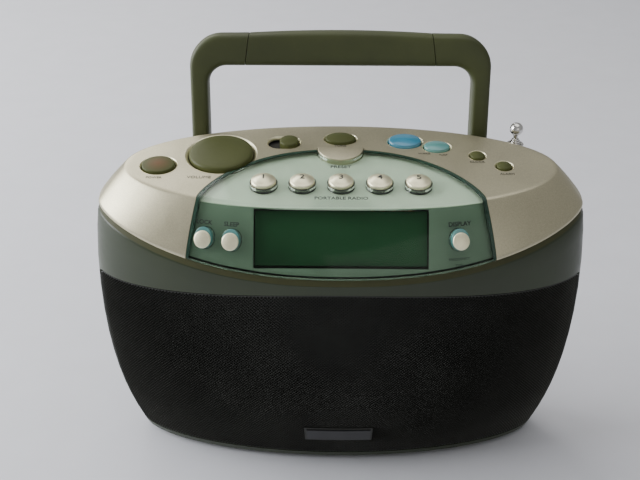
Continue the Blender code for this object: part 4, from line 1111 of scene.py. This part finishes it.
LUG_X, LUG_RADIUS, LUG_HALF = 57.2 * MM, 7.5 * MM, 4.2 * MM
PIN_BORE = 2.62 * MM


def floor_point(angle, scale, inset, rise):
    """A point on the floor, scale of the way from its middle to its edge."""
    point = wall_point(angle, 0.0, inset)
    return Vector((point.x * scale, TIP_Y + (point.y - TIP_Y) * scale, point.z + rise))


def cabinet_rows():
    """Rows of the closed wall: floor, outer wall and rim, then back down the inner wall."""
    rows = [lambda angle, k=scale: floor_point(angle, k, BASE_ROUND, 0.0) for scale in (0.0, 0.5, 0.9)]
    for i in range(5):
        turn = math.radians(90 * i / 4)
        rows.append(lambda angle, s=math.sin(turn), c=math.cos(turn):
                    floor_point(angle, 1.0, BASE_ROUND * (1 - s), BASE_ROUND * (1 - c)))
    rows += [lambda angle, k=share: wall_point(angle, k) for share in WALL_SHARES]
    for inset, drop in ((0.0, RIM_STRIP + 0.2 * MM), (0.12 * MM, RIM_STRIP),
                        (1.0 * MM, GAP + 0.45 * MM), (1.2 * MM, GAP), (WALL, GAP)):
        rows.append(lambda angle, a=inset, b=drop: wall_point(angle, 1.0, a, b))
    rows += [lambda angle, k=share: wall_point(angle, k, WALL) for share in WALL_SHARES[:3:-1]]
    rows += [lambda angle, k=scale: floor_point(angle, k, WALL + BASE_ROUND, WALL)
             for scale in (1.0, 0.9, 0.5, 0.0)]
    return rows


def cabinet_sheet(name):
    """The whole wall with its floor, as one closed body."""
    rows = cabinet_rows()

    def place(across, up):
        return rows[round(up * (len(rows) - 1))](2 * math.pi * across)

    return grid_sheet(name, AROUND, len(rows) - 1, place)


def depth_block(low, high):
    """A plain cutter whose y values are depths from the rim's foremost point."""
    return block("cutter", (low[0], TIP_Y + low[1], low[2]), (high[0], TIP_Y + high[1], high[2]))


def grille_opening(steps=90):
    """A cutter for the front wall, open towards both sides."""
    outline = [(-PAST_SIDE, GRILLE_FOOT_Z), (PAST_SIDE, GRILLE_FOOT_Z),
               (PAST_SIDE, grille_edge(1.0)[1])]
    for i in range(steps + 1):
        angle, z = grille_edge(1 - i / steps)
        outline.append((HALF_WIDTH * math.sin(angle), z))
    outline.append((-PAST_SIDE, grille_edge(0.0)[1]))
    return prism("grille_opening", outline, -GRILLE_SIDE, 70 * MM, at((0, TIP_Y, 0), FACING_FRONT))


class RADIO_OT_cabinet(bpy.types.Operator):
    """Model the front and rear cabinet halves and the battery door."""

    bl_idname = "radio.cabinet"
    bl_label = "Cabinet"

    def execute(self, context):
        front = cabinet_sheet("front_shell")
        cut(front, depth_block((-FAR, -FAR, -FAR), (FAR, -GAP / 2, 2 * FAR)), "INTERSECT")
        cut(front, grille_opening())
        done(front, "cabinet", "olive_plastic", FINISHES["olive_plastic"], "front_cabinet")
        self.paint_strip(front)

        rear = cabinet_sheet("rear_shell")
        cut(rear, depth_block((-FAR, GAP / 2, -FAR), (FAR, FAR, 2 * FAR)), "INTERSECT")
        self.rear_openings(rear)
        self.lugs(rear)
        done(rear, "cabinet", "olive_plastic", FINISHES["olive_plastic"], "rear_cabinet")
        self.door()
        return {"FINISHED"}

    def paint_strip(self, front):
        """Give the bevelled strip under the rim a lighter, warmer olive, a painted highlight where the
        bevel catches the light, and a duller shine.
        """
        front.data.materials.append(FINISHES["rim_strip_highlight"])
        for face in front.data.polygons:
            rim = rim_height(min(1.0, abs(face.center.x) / RIM_HALF_WIDTH), True)
            if face.center.z > rim - RIM_STRIP:
                face.material_index = 1

    def rear_openings(self, rear):
        """Cut the door's opening, the mains inlet, the headphone jack and the vents."""
        cut(rear, depth_block(DOOR_LOW, DOOR_HIGH))
        cut(rear, depth_block(INLET_LOW, INLET_HIGH))
        jack = at((JACK_X, TIP_Y + 30 * MM, JACK_Z), FACING_FRONT)
        cut(rear, rod("jack", JACK_RADIUS, -12 * MM, 12 * MM, jack, 48))
        for row in range(VENTS):
            vent = at((0, TIP_Y + 30 * MM, (VENT_FOOT + row * VENT_STEP) * MM), FACING_FRONT)
            cut(rear, prism("vent", slot_outline(VENT_HALF, VENT_RADIUS, 6), -20 * MM, 6 * MM, vent))

    def lugs(self, rear):
        """Add the handle's two lugs and the boss that carries the antenna's foot."""
        depth, z = PIVOT.y - TIP_Y, PIVOT.z
        for side in (-1, 1):
            middle = side * LUG_X
            outline = arc((depth, z), LUG_RADIUS, -90, 90, 24)
            outline += [(31.4 * MM, z + LUG_RADIUS), (31.4 * MM, z - LUG_RADIUS - 3 * MM)]
            lug = prism("lug", outline, -LUG_HALF, LUG_HALF, at((middle, TIP_Y, 0), SIDEWAYS))
            round_edges(lug, 0.8 * MM, 3, 50)
            cut(rear, lug, "UNION")
            bore = at((middle, PIVOT.y, PIVOT.z), FACING_SIDE)
            cut(rear, rod("bore", PIN_BORE, -8 * MM, 8 * MM, bore, 32))
        low, _, elbow = node_box("antenna_base")
        boss = at((elbow.x, low.y, elbow.z), FACING_FRONT)
        cut(rear, rod("boss", 5.5 * MM, 0.3 * MM, 7 * MM, boss, 40), "UNION")

    def door(self):
        """Cut the battery door from the same wall and add its grip ridges."""
        door = cabinet_sheet("door_shell")
        gap = Vector((DOOR_GAP, 0, DOOR_GAP))
        cut(door, depth_block(Vector(DOOR_LOW) + gap, Vector(DOOR_HIGH) - gap), "INTERSECT")
        for row in range(RIDGES):
            place = at((0, TIP_Y + 39.6 * MM, (RIDGE_FOOT + RIDGE_STEP * row) * MM), FACING_FRONT)
            outline = slot_outline(RIDGE_HALF, RIDGE_RADIUS, 6)
            cut(door, prism("ridge", outline, -3 * MM, 0.9 * MM, place))
        done(door, "door", "olive_plastic", FINISHES["olive_plastic"], "battery_door")


class RADIO_OT_grille(bpy.types.Operator):
    """Model the perforated grille, one cup-shaped hole for each diamond of its lattice."""

    bl_idname = "radio.grille"
    bl_label = "Grille"

    def execute(self, context):
        piece = self.lattice()
        pick(piece)
        bpy.ops.object.mode_set(mode="EDIT")
        bpy.ops.mesh.select_all(action="DESELECT")
        bpy.ops.mesh.select_mode(type="FACE")
        bpy.ops.mesh.select_face_by_sides(number=4, type="EQUAL")
        bpy.ops.mesh.inset(thickness=sizes().hole_rim, depth=-sizes().hole_depth, use_individual=True)
        bpy.ops.object.mode_set(mode="OBJECT")
        self.turn_in_edges(piece)
        done(piece, "cabinet", "black_grille", FINISHES["black_grille"], "speaker_grille", degrees=35)
        return {"FINISHED"}

    def lattice(self):
        """A sheet of diamonds: each square is poked, then the squares' own sides are dissolved."""
        columns, rows = sizes().grille_columns, sizes().grille_rows
        piece = grid_sheet("grille_sheet", columns, rows, lambda across, up: (across, up, 0.0), False)
        corners = len(piece.data.vertices)
        edit(piece, (bpy.ops.mesh.poke, {}))
        mesh = piece.data
        faces_at = {}
        for face in mesh.polygons:
            for key in face.edge_keys:
                faces_at[key] = faces_at.get(key, 0) + 1
        chosen = [edge.index for edge in mesh.edges
                  if faces_at[edge.key] == 2 and max(edge.vertices) < corners]
        pick(piece)
        bpy.ops.object.mode_set(mode="EDIT")
        bpy.ops.mesh.select_mode(type="EDGE")
        bpy.ops.mesh.select_all(action="DESELECT")
        bpy.ops.object.mode_set(mode="OBJECT")
        for index in chosen:
            mesh.edges[index].select = True
        bpy.ops.object.mode_set(mode="EDIT")
        bpy.ops.mesh.dissolve_edges(use_verts=False)
        bpy.ops.object.mode_set(mode="OBJECT")
        for vertex in piece.data.vertices:
            vertex.co = self.on_front(vertex.co.x, vertex.co.y)
        edit(piece, (bpy.ops.mesh.normals_make_consistent, {"inside": False}))
        self.face_front(piece)
        return piece

    def on_front(self, across, up):
        """A point of the grille on the front wall, both shares from 0 to 1."""
        share = 0.0016 + across * 0.9968
        angle, top = grille_edge(share, GAP)
        foot = GRILLE_FOOT_Z + GAP
        return wall_point(angle, share_at(angle, foot + (top - foot) * up), 0.25 * MM)

    def face_front(self, piece):
        """Turn the sheet's faces towards the front."""
        if sum(face.normal.y * face.area for face in piece.data.polygons) > 0:
            edit(piece, (bpy.ops.mesh.flip_normals, {}))

    def turn_in_edges(self, piece):
        """Fold the sheet's outer edge back into the opening."""
        pick(piece)
        before = len(piece.data.vertices)
        bpy.ops.object.mode_set(mode="EDIT")
        bpy.ops.mesh.select_mode(type="EDGE")
        bpy.ops.mesh.select_all(action="DESELECT")
        bpy.ops.mesh.select_non_manifold(extend=False)
        bpy.ops.mesh.extrude_edges_move()
        bpy.ops.object.mode_set(mode="OBJECT")
        middle = Vector((0.0, TIP_Y, 55 * MM))
        for vertex in piece.data.vertices[before:]:
            inward = middle - vertex.co
            inward.z *= 0.1
            inward.x *= 0.15
            vertex.co += inward.normalized() * 1.4 * MM


class RADIO_OT_badge(bpy.types.Operator):
    """Model the small dark plate at the grille's foot and its frame."""

    bl_idname = "radio.badge"
    bl_label = "Badge Plate"

    def execute(self, context):
        low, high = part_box("badge_plate")
        plate = self.curved("badge", low.x, high.x, low.z + 0.5 * MM, high.z - 0.5 * MM,
                            -1.15 * MM, 1.0 * MM)
        frame_piece = self.curved("badge_frame", low.x - 1.2 * MM, high.x + 1.2 * MM, low.z - 0.8 * MM,
                                  high.z + 0.8 * MM, -0.55 * MM, 1.2 * MM)
        done(frame_piece, "cabinet", "dark_plastic", FINISHES["black_grille"])
        done(plate, "cabinet", "dark_plastic", FINISHES["dark_plastic"], "badge_plate")
        return {"FINISHED"}

    def curved(self, name, left, right, foot, top, inset, depth):
        """A rounded block bent to the front wall; a negative inset stands proud of it."""
        half = (right - left) / 2
        tall = (top - foot) / 2
        piece = block(name, (-half, -tall, -depth), (half, tall, 0.0))
        edit(piece, (bpy.ops.mesh.subdivide, {"number_cuts": 14}))
        piece.data.validate()
        middle_z = (foot + top) / 2
        for vertex in piece.data.vertices:
            x, y, z = vertex.co
            angle = math.asin(x / HALF_WIDTH)
            point = wall_point(angle, share_at(angle, middle_z + y), inset)
            vertex.co = point + Vector((0, -z, 0))
        close_seams(piece)
        round_edges(piece, segments=3, degrees=50)
        return piece


# Handle -------------------------------------------------------------------------------------
def handle_place():
    """The handle's own frame: x across, y along the arms, its origin on the pins' axis."""
    return at(PIVOT, Matrix.Rotation(-HANDLE_LEAN, 4, "X") @ FACING_FRONT)


def arm_lines(steps=22):
    """Matching points on the arm's outer and inner outlines, from its foot to the grip's seam."""
    outer_corner, inner_corner = 15.0 * MM, 9.0 * MM
    inner = HANDLE_OUTER - ARM_WIDTH
    low_bar = HANDLE_REACH - BAR_HEIGHT
    pairs = []
    for i in range(8):
        y = -HANDLE_DEPTH / 2 * math.cos(math.radians(90 * i / 7))
        pairs.append(((HANDLE_OUTER, y), (inner, y)))
    straight = low_bar - inner_corner
    for i in range(1, 8):
        w = i / 7
        pairs.append(((HANDLE_OUTER, (HANDLE_REACH - outer_corner) * w), (inner, straight * w)))
    outer_arc = arc((HANDLE_OUTER - outer_corner, HANDLE_REACH - outer_corner), outer_corner,
                    0, 90, steps)
    inner_arc = arc((inner - inner_corner, low_bar - inner_corner), inner_corner, 0, 90, steps)
    pairs += list(zip(outer_arc, inner_arc))[1:]
    end_outer = (SEAM_TOP + GAP, bar_top(SEAM_TOP))
    end_inner = (SEAM_FOOT + GAP, low_bar)
    start_outer, start_inner = pairs[-1]
    for i in range(1, 5):
        w = i / 4
        pairs.append((tuple(Vector(start_outer).lerp(Vector(end_outer), w)),
                      tuple(Vector(start_inner).lerp(Vector(end_inner), w))))
    return pairs


def bar_top(x):
    """Height of the grip's gently crowned upper side."""
    return HANDLE_REACH + BAR_CROWN * (1 - (x / SEAM_FOOT) ** 2)


def swept(name, pairs, depths, around=40, power=0.42):
    """A soft-cornered section swept between two outlines, closed at both ends."""
    count = len(pairs)

    def ring(index, scale):
        (ox, oy), (ix, iy) = pairs[index]
        return Vector((ox, oy, 0)), Vector((ix, iy, 0)), depths[index] / 2, scale

    rings = [ring(0, 0.0), ring(0, 0.7), ring(0, 0.93)]
    rings += [ring(i, 1.0) for i in range(count)]
    rings += [ring(count - 1, 0.93), ring(count - 1, 0.7), ring(count - 1, 0.0)]

    def place(across, up):
        outer, inner, half_depth, scale = rings[round(up * (len(rings) - 1))]
        angle = 2 * math.pi * across
        c, s = math.cos(angle), math.sin(angle)
        a = math.copysign(abs(c) ** power, c) * scale
        b = math.copysign(abs(s) ** power, s) * scale
        middle = (outer + inner) / 2
        return middle + (outer - inner) / 2 * a + Vector((0, 0, half_depth * b))

    return grid_sheet(name, around, len(rings) - 1, place)


class RADIO_OT_handle(bpy.types.Operator):
    """Model the carrying handle: two arms, the grip between them and the pins."""

    bl_idname = "radio.handle"
    bl_label = "Handle"

    def execute(self, context):
        pairs = arm_lines()
        depths = []
        for (_, y), _ in pairs:
            below = min(0.0, y) / (HANDLE_DEPTH / 2)
            depths.append(HANDLE_DEPTH * math.sqrt(max(0.02, 1 - below ** 2)))
        for side, side_name in ((-1, "left"), (1, "right")):
            mirrored = [((side * ox, oy), (side * ix, iy)) for (ox, oy), (ix, iy) in pairs]
            arm = swept(f"handle_{side_name}", mirrored, depths)
            arm.data.transform(handle_place())
            close_seams(arm)
            bore = handle_place() @ at((side * 66.1 * MM, 0, 0), FACING_SIDE)
            cut(arm, rod("bore", PIN_BORE, -8 * MM, 8 * MM, bore, 32))
            done(arm, "handle", "handle_plastic", FINISHES["handle_plastic"], f"handle_arm_{side_name}")
            self.pin(side, side_name)
        self.grip()
        return {"FINISHED"}

    def grip(self, steps=24):
        """Model the middle piece between the two slanting seams."""
        low_bar = HANDLE_REACH - BAR_HEIGHT
        pairs = []
        for i in range(steps + 1):
            w = 1 - 2 * i / steps
            pairs.append(((SEAM_TOP * w, bar_top(SEAM_TOP * w)), (SEAM_FOOT * w, low_bar)))
        grip = swept("grip", pairs, [HANDLE_DEPTH] * len(pairs))
        grip.data.transform(handle_place())
        close_seams(grip)
        done(grip, "handle", "handle_plastic", FINISHES["handle_plastic"], "handle_grip")

    def pin(self, side, side_name):
        """Model the pin with its domed head, from the arm's outer face through the lug."""
        head = HANDLE_OUTER + GAP
        profile = [(0.0, head + 0.9 * MM), (1.2 * MM, head + 1.0 * MM), (1.8 * MM, head + 1.3 * MM),
                   (3.4 * MM, head + 1.3 * MM), (4.2 * MM, head + 0.6 * MM), (4.2 * MM, head),
                   (2.5 * MM, head), (2.5 * MM, 54 * MM), (0.0, 54 * MM)]
        place = at(PIVOT, Matrix.Rotation(math.pi / 2 * side, 4, "Y"))
        pin = turned(f"pin_{side_name}", soft_profile(profile, 0.25 * MM), place, 40)
        done(pin, "cabinet", "steel", FINISHES["steel"], f"handle_pin_{side_name}")


# Antenna ------------------------------------------------------------------------------------
ELBOW_DEPTH = 33.0 * MM
OUTER_TUBE, TUBE_STEP = 3.3, 0.55       # millimetres
TUBE_WALL = 0.42 * MM
EAR_X = 3.6 * MM
BALL_RADIUS, ROD_RADIUS = 3.1 * MM, 1.1 * MM


class RADIO_OT_antenna(bpy.types.Operator):
    """Model the antenna's foot, its telescopic tubes and the round tip."""

    bl_idname = "radio.antenna"
    bl_label = "Antenna"

    def execute(self, context):
        middle = node_box("antenna_base")[2]
        elbow = Vector((middle.x, TIP_Y + ELBOW_DEPTH, middle.z))
        self.foot(elbow)
        bodies = ("antenna_outer", "antenna_second", "antenna_third", "antenna_fourth")
        for number, body in enumerate(bodies, start=1):
            node = f"antenna_section_{number}"
            low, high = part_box(node)
            radius = (OUTER_TUBE - TUBE_STEP * (number - 1)) * MM
            inner = radius - TUBE_WALL
            top = high.z - elbow.z
            foot = (4.5 if number == 1 else low.z / MM - elbow.z / MM) * MM
            flare = radius + 0.7 * MM if number == 1 else radius
            shoulder = top - 2.5 * MM
            profile = [(inner, top - 0.2 * MM), (inner + 0.12 * MM, top), (flare - 0.25 * MM, top),
                       (flare, top - 0.25 * MM), (flare, shoulder), (radius, shoulder - 0.5 * MM),
                       (radius, foot), (inner, foot)]
            tube = turned(f"tube_{number}", profile, Matrix.Translation(elbow), 40, ring=True)
            if number == 1:
                self.knuckle(tube, elbow)
            done(tube, body, "chrome", FINISHES["chrome"], node)
        self.tip(elbow)
        return {"FINISHED"}

    def foot(self, elbow):
        """Model the turning disc with the two ears and the pin of the elbow."""
        profile = soft_profile(in_mm((0.0, 5.2), (4.9, 5.2), (4.9, 3.8), (0.0, 3.8)), 0.3 * MM)
        base = turned("antenna_foot_disc", profile, at(elbow, FACING_FRONT), 48)
        close_seams(base)
        outline = arc((0, 0), 3.0 * MM, -90, 90, 20) + in_mm((-4.4, 3.0), (-4.4, -3.0))
        for side in (-1, 1):
            ear = prism("ear", outline, -0.75 * MM, 0.75 * MM,
                        at(elbow + Vector((side * EAR_X, 0, 0)), SIDEWAYS))
            round_edges(ear, 0.2 * MM, 2)
            cut(base, ear, "UNION")
        pin = rod("pin", 1.2 * MM, -4.7 * MM, 4.7 * MM, at(elbow, FACING_SIDE), 28)
        cut(base, pin, "UNION")
        done(base, "antenna_foot", "chrome", FINISHES["chrome"], "antenna_base")

    def knuckle(self, tube, elbow):
        """Add the eye that turns on the elbow's pin to the outer tube."""
        outline = arc((0, 0), 2.5 * MM, 180, 360, 24) + in_mm((2.5, 5), (-2.5, 5))
        eye = prism("eye", outline, -2.4 * MM, 2.4 * MM, at(elbow, SIDEWAYS))
        cut(eye, rod("bore", 1.3 * MM, -4 * MM, 4 * MM, at(elbow, FACING_SIDE), 28))
        round_edges(eye, 0.2 * MM, 2)
        cut(tube, eye, "UNION")

    def tip(self, elbow):
        """Model the inner rod and the ball on its end."""
        low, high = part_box("antenna_tip")
        top = high.z - elbow.z
        middle = top - BALL_RADIUS
        profile = [(0.0, top)]
        for i in range(1, 16):
            turn = math.radians(90 - 158 * i / 15)
            profile.append((BALL_RADIUS * math.cos(turn), middle + BALL_RADIUS * math.sin(turn)))
        foot = low.z - elbow.z
        profile += [(ROD_RADIUS, middle - BALL_RADIUS - 0.1 * MM), (ROD_RADIUS, foot), (0.0, foot)]
        tip = turned("antenna_ball", profile, Matrix.Translation(elbow), 40)
        done(tip, "antenna_inner", "chrome", FINISHES["chrome"], "antenna_tip", degrees=40)


# Words and numbers --------------------------------------------------------------------------
def word(text, size, place, bold=0.0):
    """A word as a thin raised print, centred on its place."""
    deselect()
    bpy.ops.object.text_add()
    made = bpy.context.object
    made.data.body = text
    made.data.size = size
    made.data.align_x = "CENTER"
    made.data.align_y = "CENTER"
    made.data.extrude = 0.03 * MM
    made.data.offset = bold
    made.data.resolution_u = 3
    bpy.ops.object.convert(target="MESH")
    made = bpy.context.object
    made.data.transform(place)
    return made


# text, size, x and depth on the flat, in millimetres
FLAT_WORDS = (("VOLUME", 2.7, -61.5, -5.2), ("POWER", 2.0, -81, -5.6), ("TONE", 2.0, 0.0, 20.6),
              ("WAKE", 1.9, 37.5, 14.6), ("NAP", 1.9, 46.0, 13.6), ("CLOCK", 2.0, 60.5, 8.0),
              ("ALARM", 2.0, 72.5, -1.4))
BOLD_WORDS = (("PRESET", 2.9, 0.0, 3.4), ("PORTABLE RADIO", 2.8, 0.0, -20.4))
SLOPE_WORDS = (("LOCK", "lock_button"), ("SLEEP", "sleep_button"), ("DISPLAY", "display_button"))
PRINT_RISE = 0.05 * MM
PRINT_BOLD = 0.05 * MM


class RADIO_OT_print(bpy.types.Operator):
    """Add the plain words by the controls and the numbers on the preset keys."""

    bl_idname = "radio.print"
    bl_label = "Print"

    def execute(self, context):
        words = []
        for group, bold in ((FLAT_WORDS, 0.0), (BOLD_WORDS, PRINT_BOLD)):
            for text, size, x, depth in group:
                place = on_flat(x * MM, depth * MM, PRINT_RISE)
                words.append(word(text, size * MM, place, bold))
        for text, node in SLOPE_WORDS:
            x, z = SLOPE_KEYS[node]
            words.append(word(text, 2.6 * MM, on_slope(x, z + 5.6 * MM, PRINT_RISE), PRINT_BOLD))
        x, z = SLOPE_KEYS["display_button"]
        for text, drop in (("FREQUENCY", 7.2 * MM), ("TIME", 9.6 * MM)):
            words.append(word(text, 1.6 * MM, on_slope(x, z - drop, PRINT_RISE)))
        print_piece = join("printed_words", words)
        done(print_piece, "cabinet", "dark_plastic", FINISHES["ink"])
        for number, node in enumerate(PRESETS, start=1):
            numeral = word(str(number), 4.6 * MM, Matrix.Identity(4), PRINT_BOLD)
            edit(numeral, (bpy.ops.mesh.subdivide, {"number_cuts": 3}))
            radius, edge, dome, power = PRESET_DOME
            for vertex in numeral.data.vertices:
                away = math.hypot(vertex.co.x, vertex.co.y) / (radius - edge)
                vertex.co.z += PRESET_RISE + 0.06 * MM - dome * away ** power
            numeral.data.transform(key_place(node))
            done(numeral, node + "_key", "dark_plastic", FINISHES["ink"])
            numeral.name = f"numeral_{number}"
        return {"FINISHED"}


# Inner pieces and small parts ----------------------------------------------------------------
SCREWS = ((-84, 112), (84, 112), (-72, 14), (72, 14))      # x and z, in millimetres
SCREW_REACH = 108.0


class RADIO_OT_small_parts(bpy.types.Operator):
    """Finish the feet, sockets, cells and screws, and paint every carried-over piece."""

    bl_idname = "radio.small_parts"
    bl_label = "Small Parts"

    def execute(self, context):
        for number in range(1, 5):
            low, high, middle = node_box(f"foot_{number}")
            height = high.z - low.z
            profile = [(0.0, height), (6.0 * MM, height), (5.6 * MM, 0.0), (0.0, 0.0)]
            foot = turned(f"rubber_foot_{number}", soft_profile(profile, 0.4 * MM),
                          at((middle.x, middle.y, low.z)), 40)
            done(foot, "cabinet", "rubber", FINISHES["rubber"], f"foot_{number}")
        self.cells()
        self.screws()
        self.paint_carried()
        return {"FINISHED"}

    def cells(self):
        """Model the four cells, each with its nub."""
        half = 24.5 * MM
        for number in range(1, 5):
            _, high, middle = node_box(f"battery_{number}")
            nub = high.x - middle.x + 0.5 * MM
            profile = [(0.0, nub), (3.5 * MM, nub), (3.5 * MM, half), (12.4 * MM, half),
                       (13.0 * MM, half - 0.6 * MM), (13.0 * MM, -half), (0.0, -half)]
            place = at((middle.x - 0.5 * MM, middle.y, middle.z), FACING_SIDE)
            cell = turned(f"cell_{number}", soft_profile(profile, 0.4 * MM), place, 48)
            done(cell, "cabinet", "cell_jacket", FINISHES["cell_jacket"], f"battery_{number}")

    def screws(self):
        """Four cross-head screws sunk in the rear wall."""
        heads = []
        for x, z in SCREWS:
            angle = math.pi - math.asin(x / SCREW_REACH)
            share = share_at(angle, z * MM)
            point = wall_point(angle, share)
            across = wall_point(angle + 0.01, share) - wall_point(angle - 0.01, share)
            normal = across.cross(Vector((0, 0, 1))).normalized()
            if normal.y < 0:
                normal = -normal
            place = Matrix.Translation(point) @ normal.to_track_quat("Z", "Y").to_matrix().to_4x4()
            profile = in_mm((0.0, 0.45), (2.6, 0.25), (3.0, -0.3), (3.0, -1.4), (0.0, -1.4))
            head = turned("screw", soft_profile(profile, 0.3 * MM), Matrix.Identity(4), 32)
            for turn in (0, 90):
                slot = block("slot", (-1.9 * MM, -0.35 * MM, -0.6 * MM), (1.9 * MM, 0.35 * MM, 2 * MM),
                             Matrix.Rotation(math.radians(turn), 4, "Z"))
                cut(head, slot)
            head.data.transform(place)
            heads.append(head)
        screws = join("cabinet_screws", heads)
        done(screws, "cabinet", "steel", FINISHES["steel"])

    def paint_carried(self):
        """A fitting finish for each frame piece that still shows."""
        for part in frame["record"]["subparts"]:
            node = frame["nodes"][part["node"]]
            if node.hide_render:
                continue
            node.data.materials.clear()
            node.data.materials.append(FINISHES[part["material_slot"]])


class RADIO_PT_panel(bpy.types.Panel):
    """Buttons and settings for the radio."""

    bl_idname = "RADIO_PT_panel"
    bl_label = "Tabletop Radio"
    bl_space_type = "VIEW_3D"
    bl_region_type = "UI"
    bl_category = "Radio"

    def draw(self, context):
        for operator in OPERATORS:
            self.layout.operator(operator.bl_idname)
        for group in (context.scene.radio_sizes, context.scene.radio_colours):
            for name in group.bl_rna.properties.keys():
                if name not in ("rna_type", "name"):
                    self.layout.prop(group, name)


OPERATORS = (RADIO_OT_stage, RADIO_OT_top_panel, RADIO_OT_window, RADIO_OT_knob, RADIO_OT_keys,
             RADIO_OT_cabinet, RADIO_OT_grille, RADIO_OT_badge, RADIO_OT_handle, RADIO_OT_antenna,
             RADIO_OT_print, RADIO_OT_small_parts)
CLASSES = (RadioSizes, RadioColours) + OPERATORS + (RADIO_PT_panel,)


def register():
    for item in CLASSES:
        bpy.utils.register_class(item)
    bpy.types.Scene.radio_sizes = PointerProperty(type=RadioSizes)
    bpy.types.Scene.radio_colours = PointerProperty(type=RadioColours)


def unregister():
    del bpy.types.Scene.radio_colours
    del bpy.types.Scene.radio_sizes
    for item in reversed(CLASSES):
        bpy.utils.unregister_class(item)


def main():
    register()
    make_finishes()
    for operator in OPERATORS:
        group, name = operator.bl_idname.split(".")
        getattr(getattr(bpy.ops, group), name)()


if __name__ == "__main__":
    main()
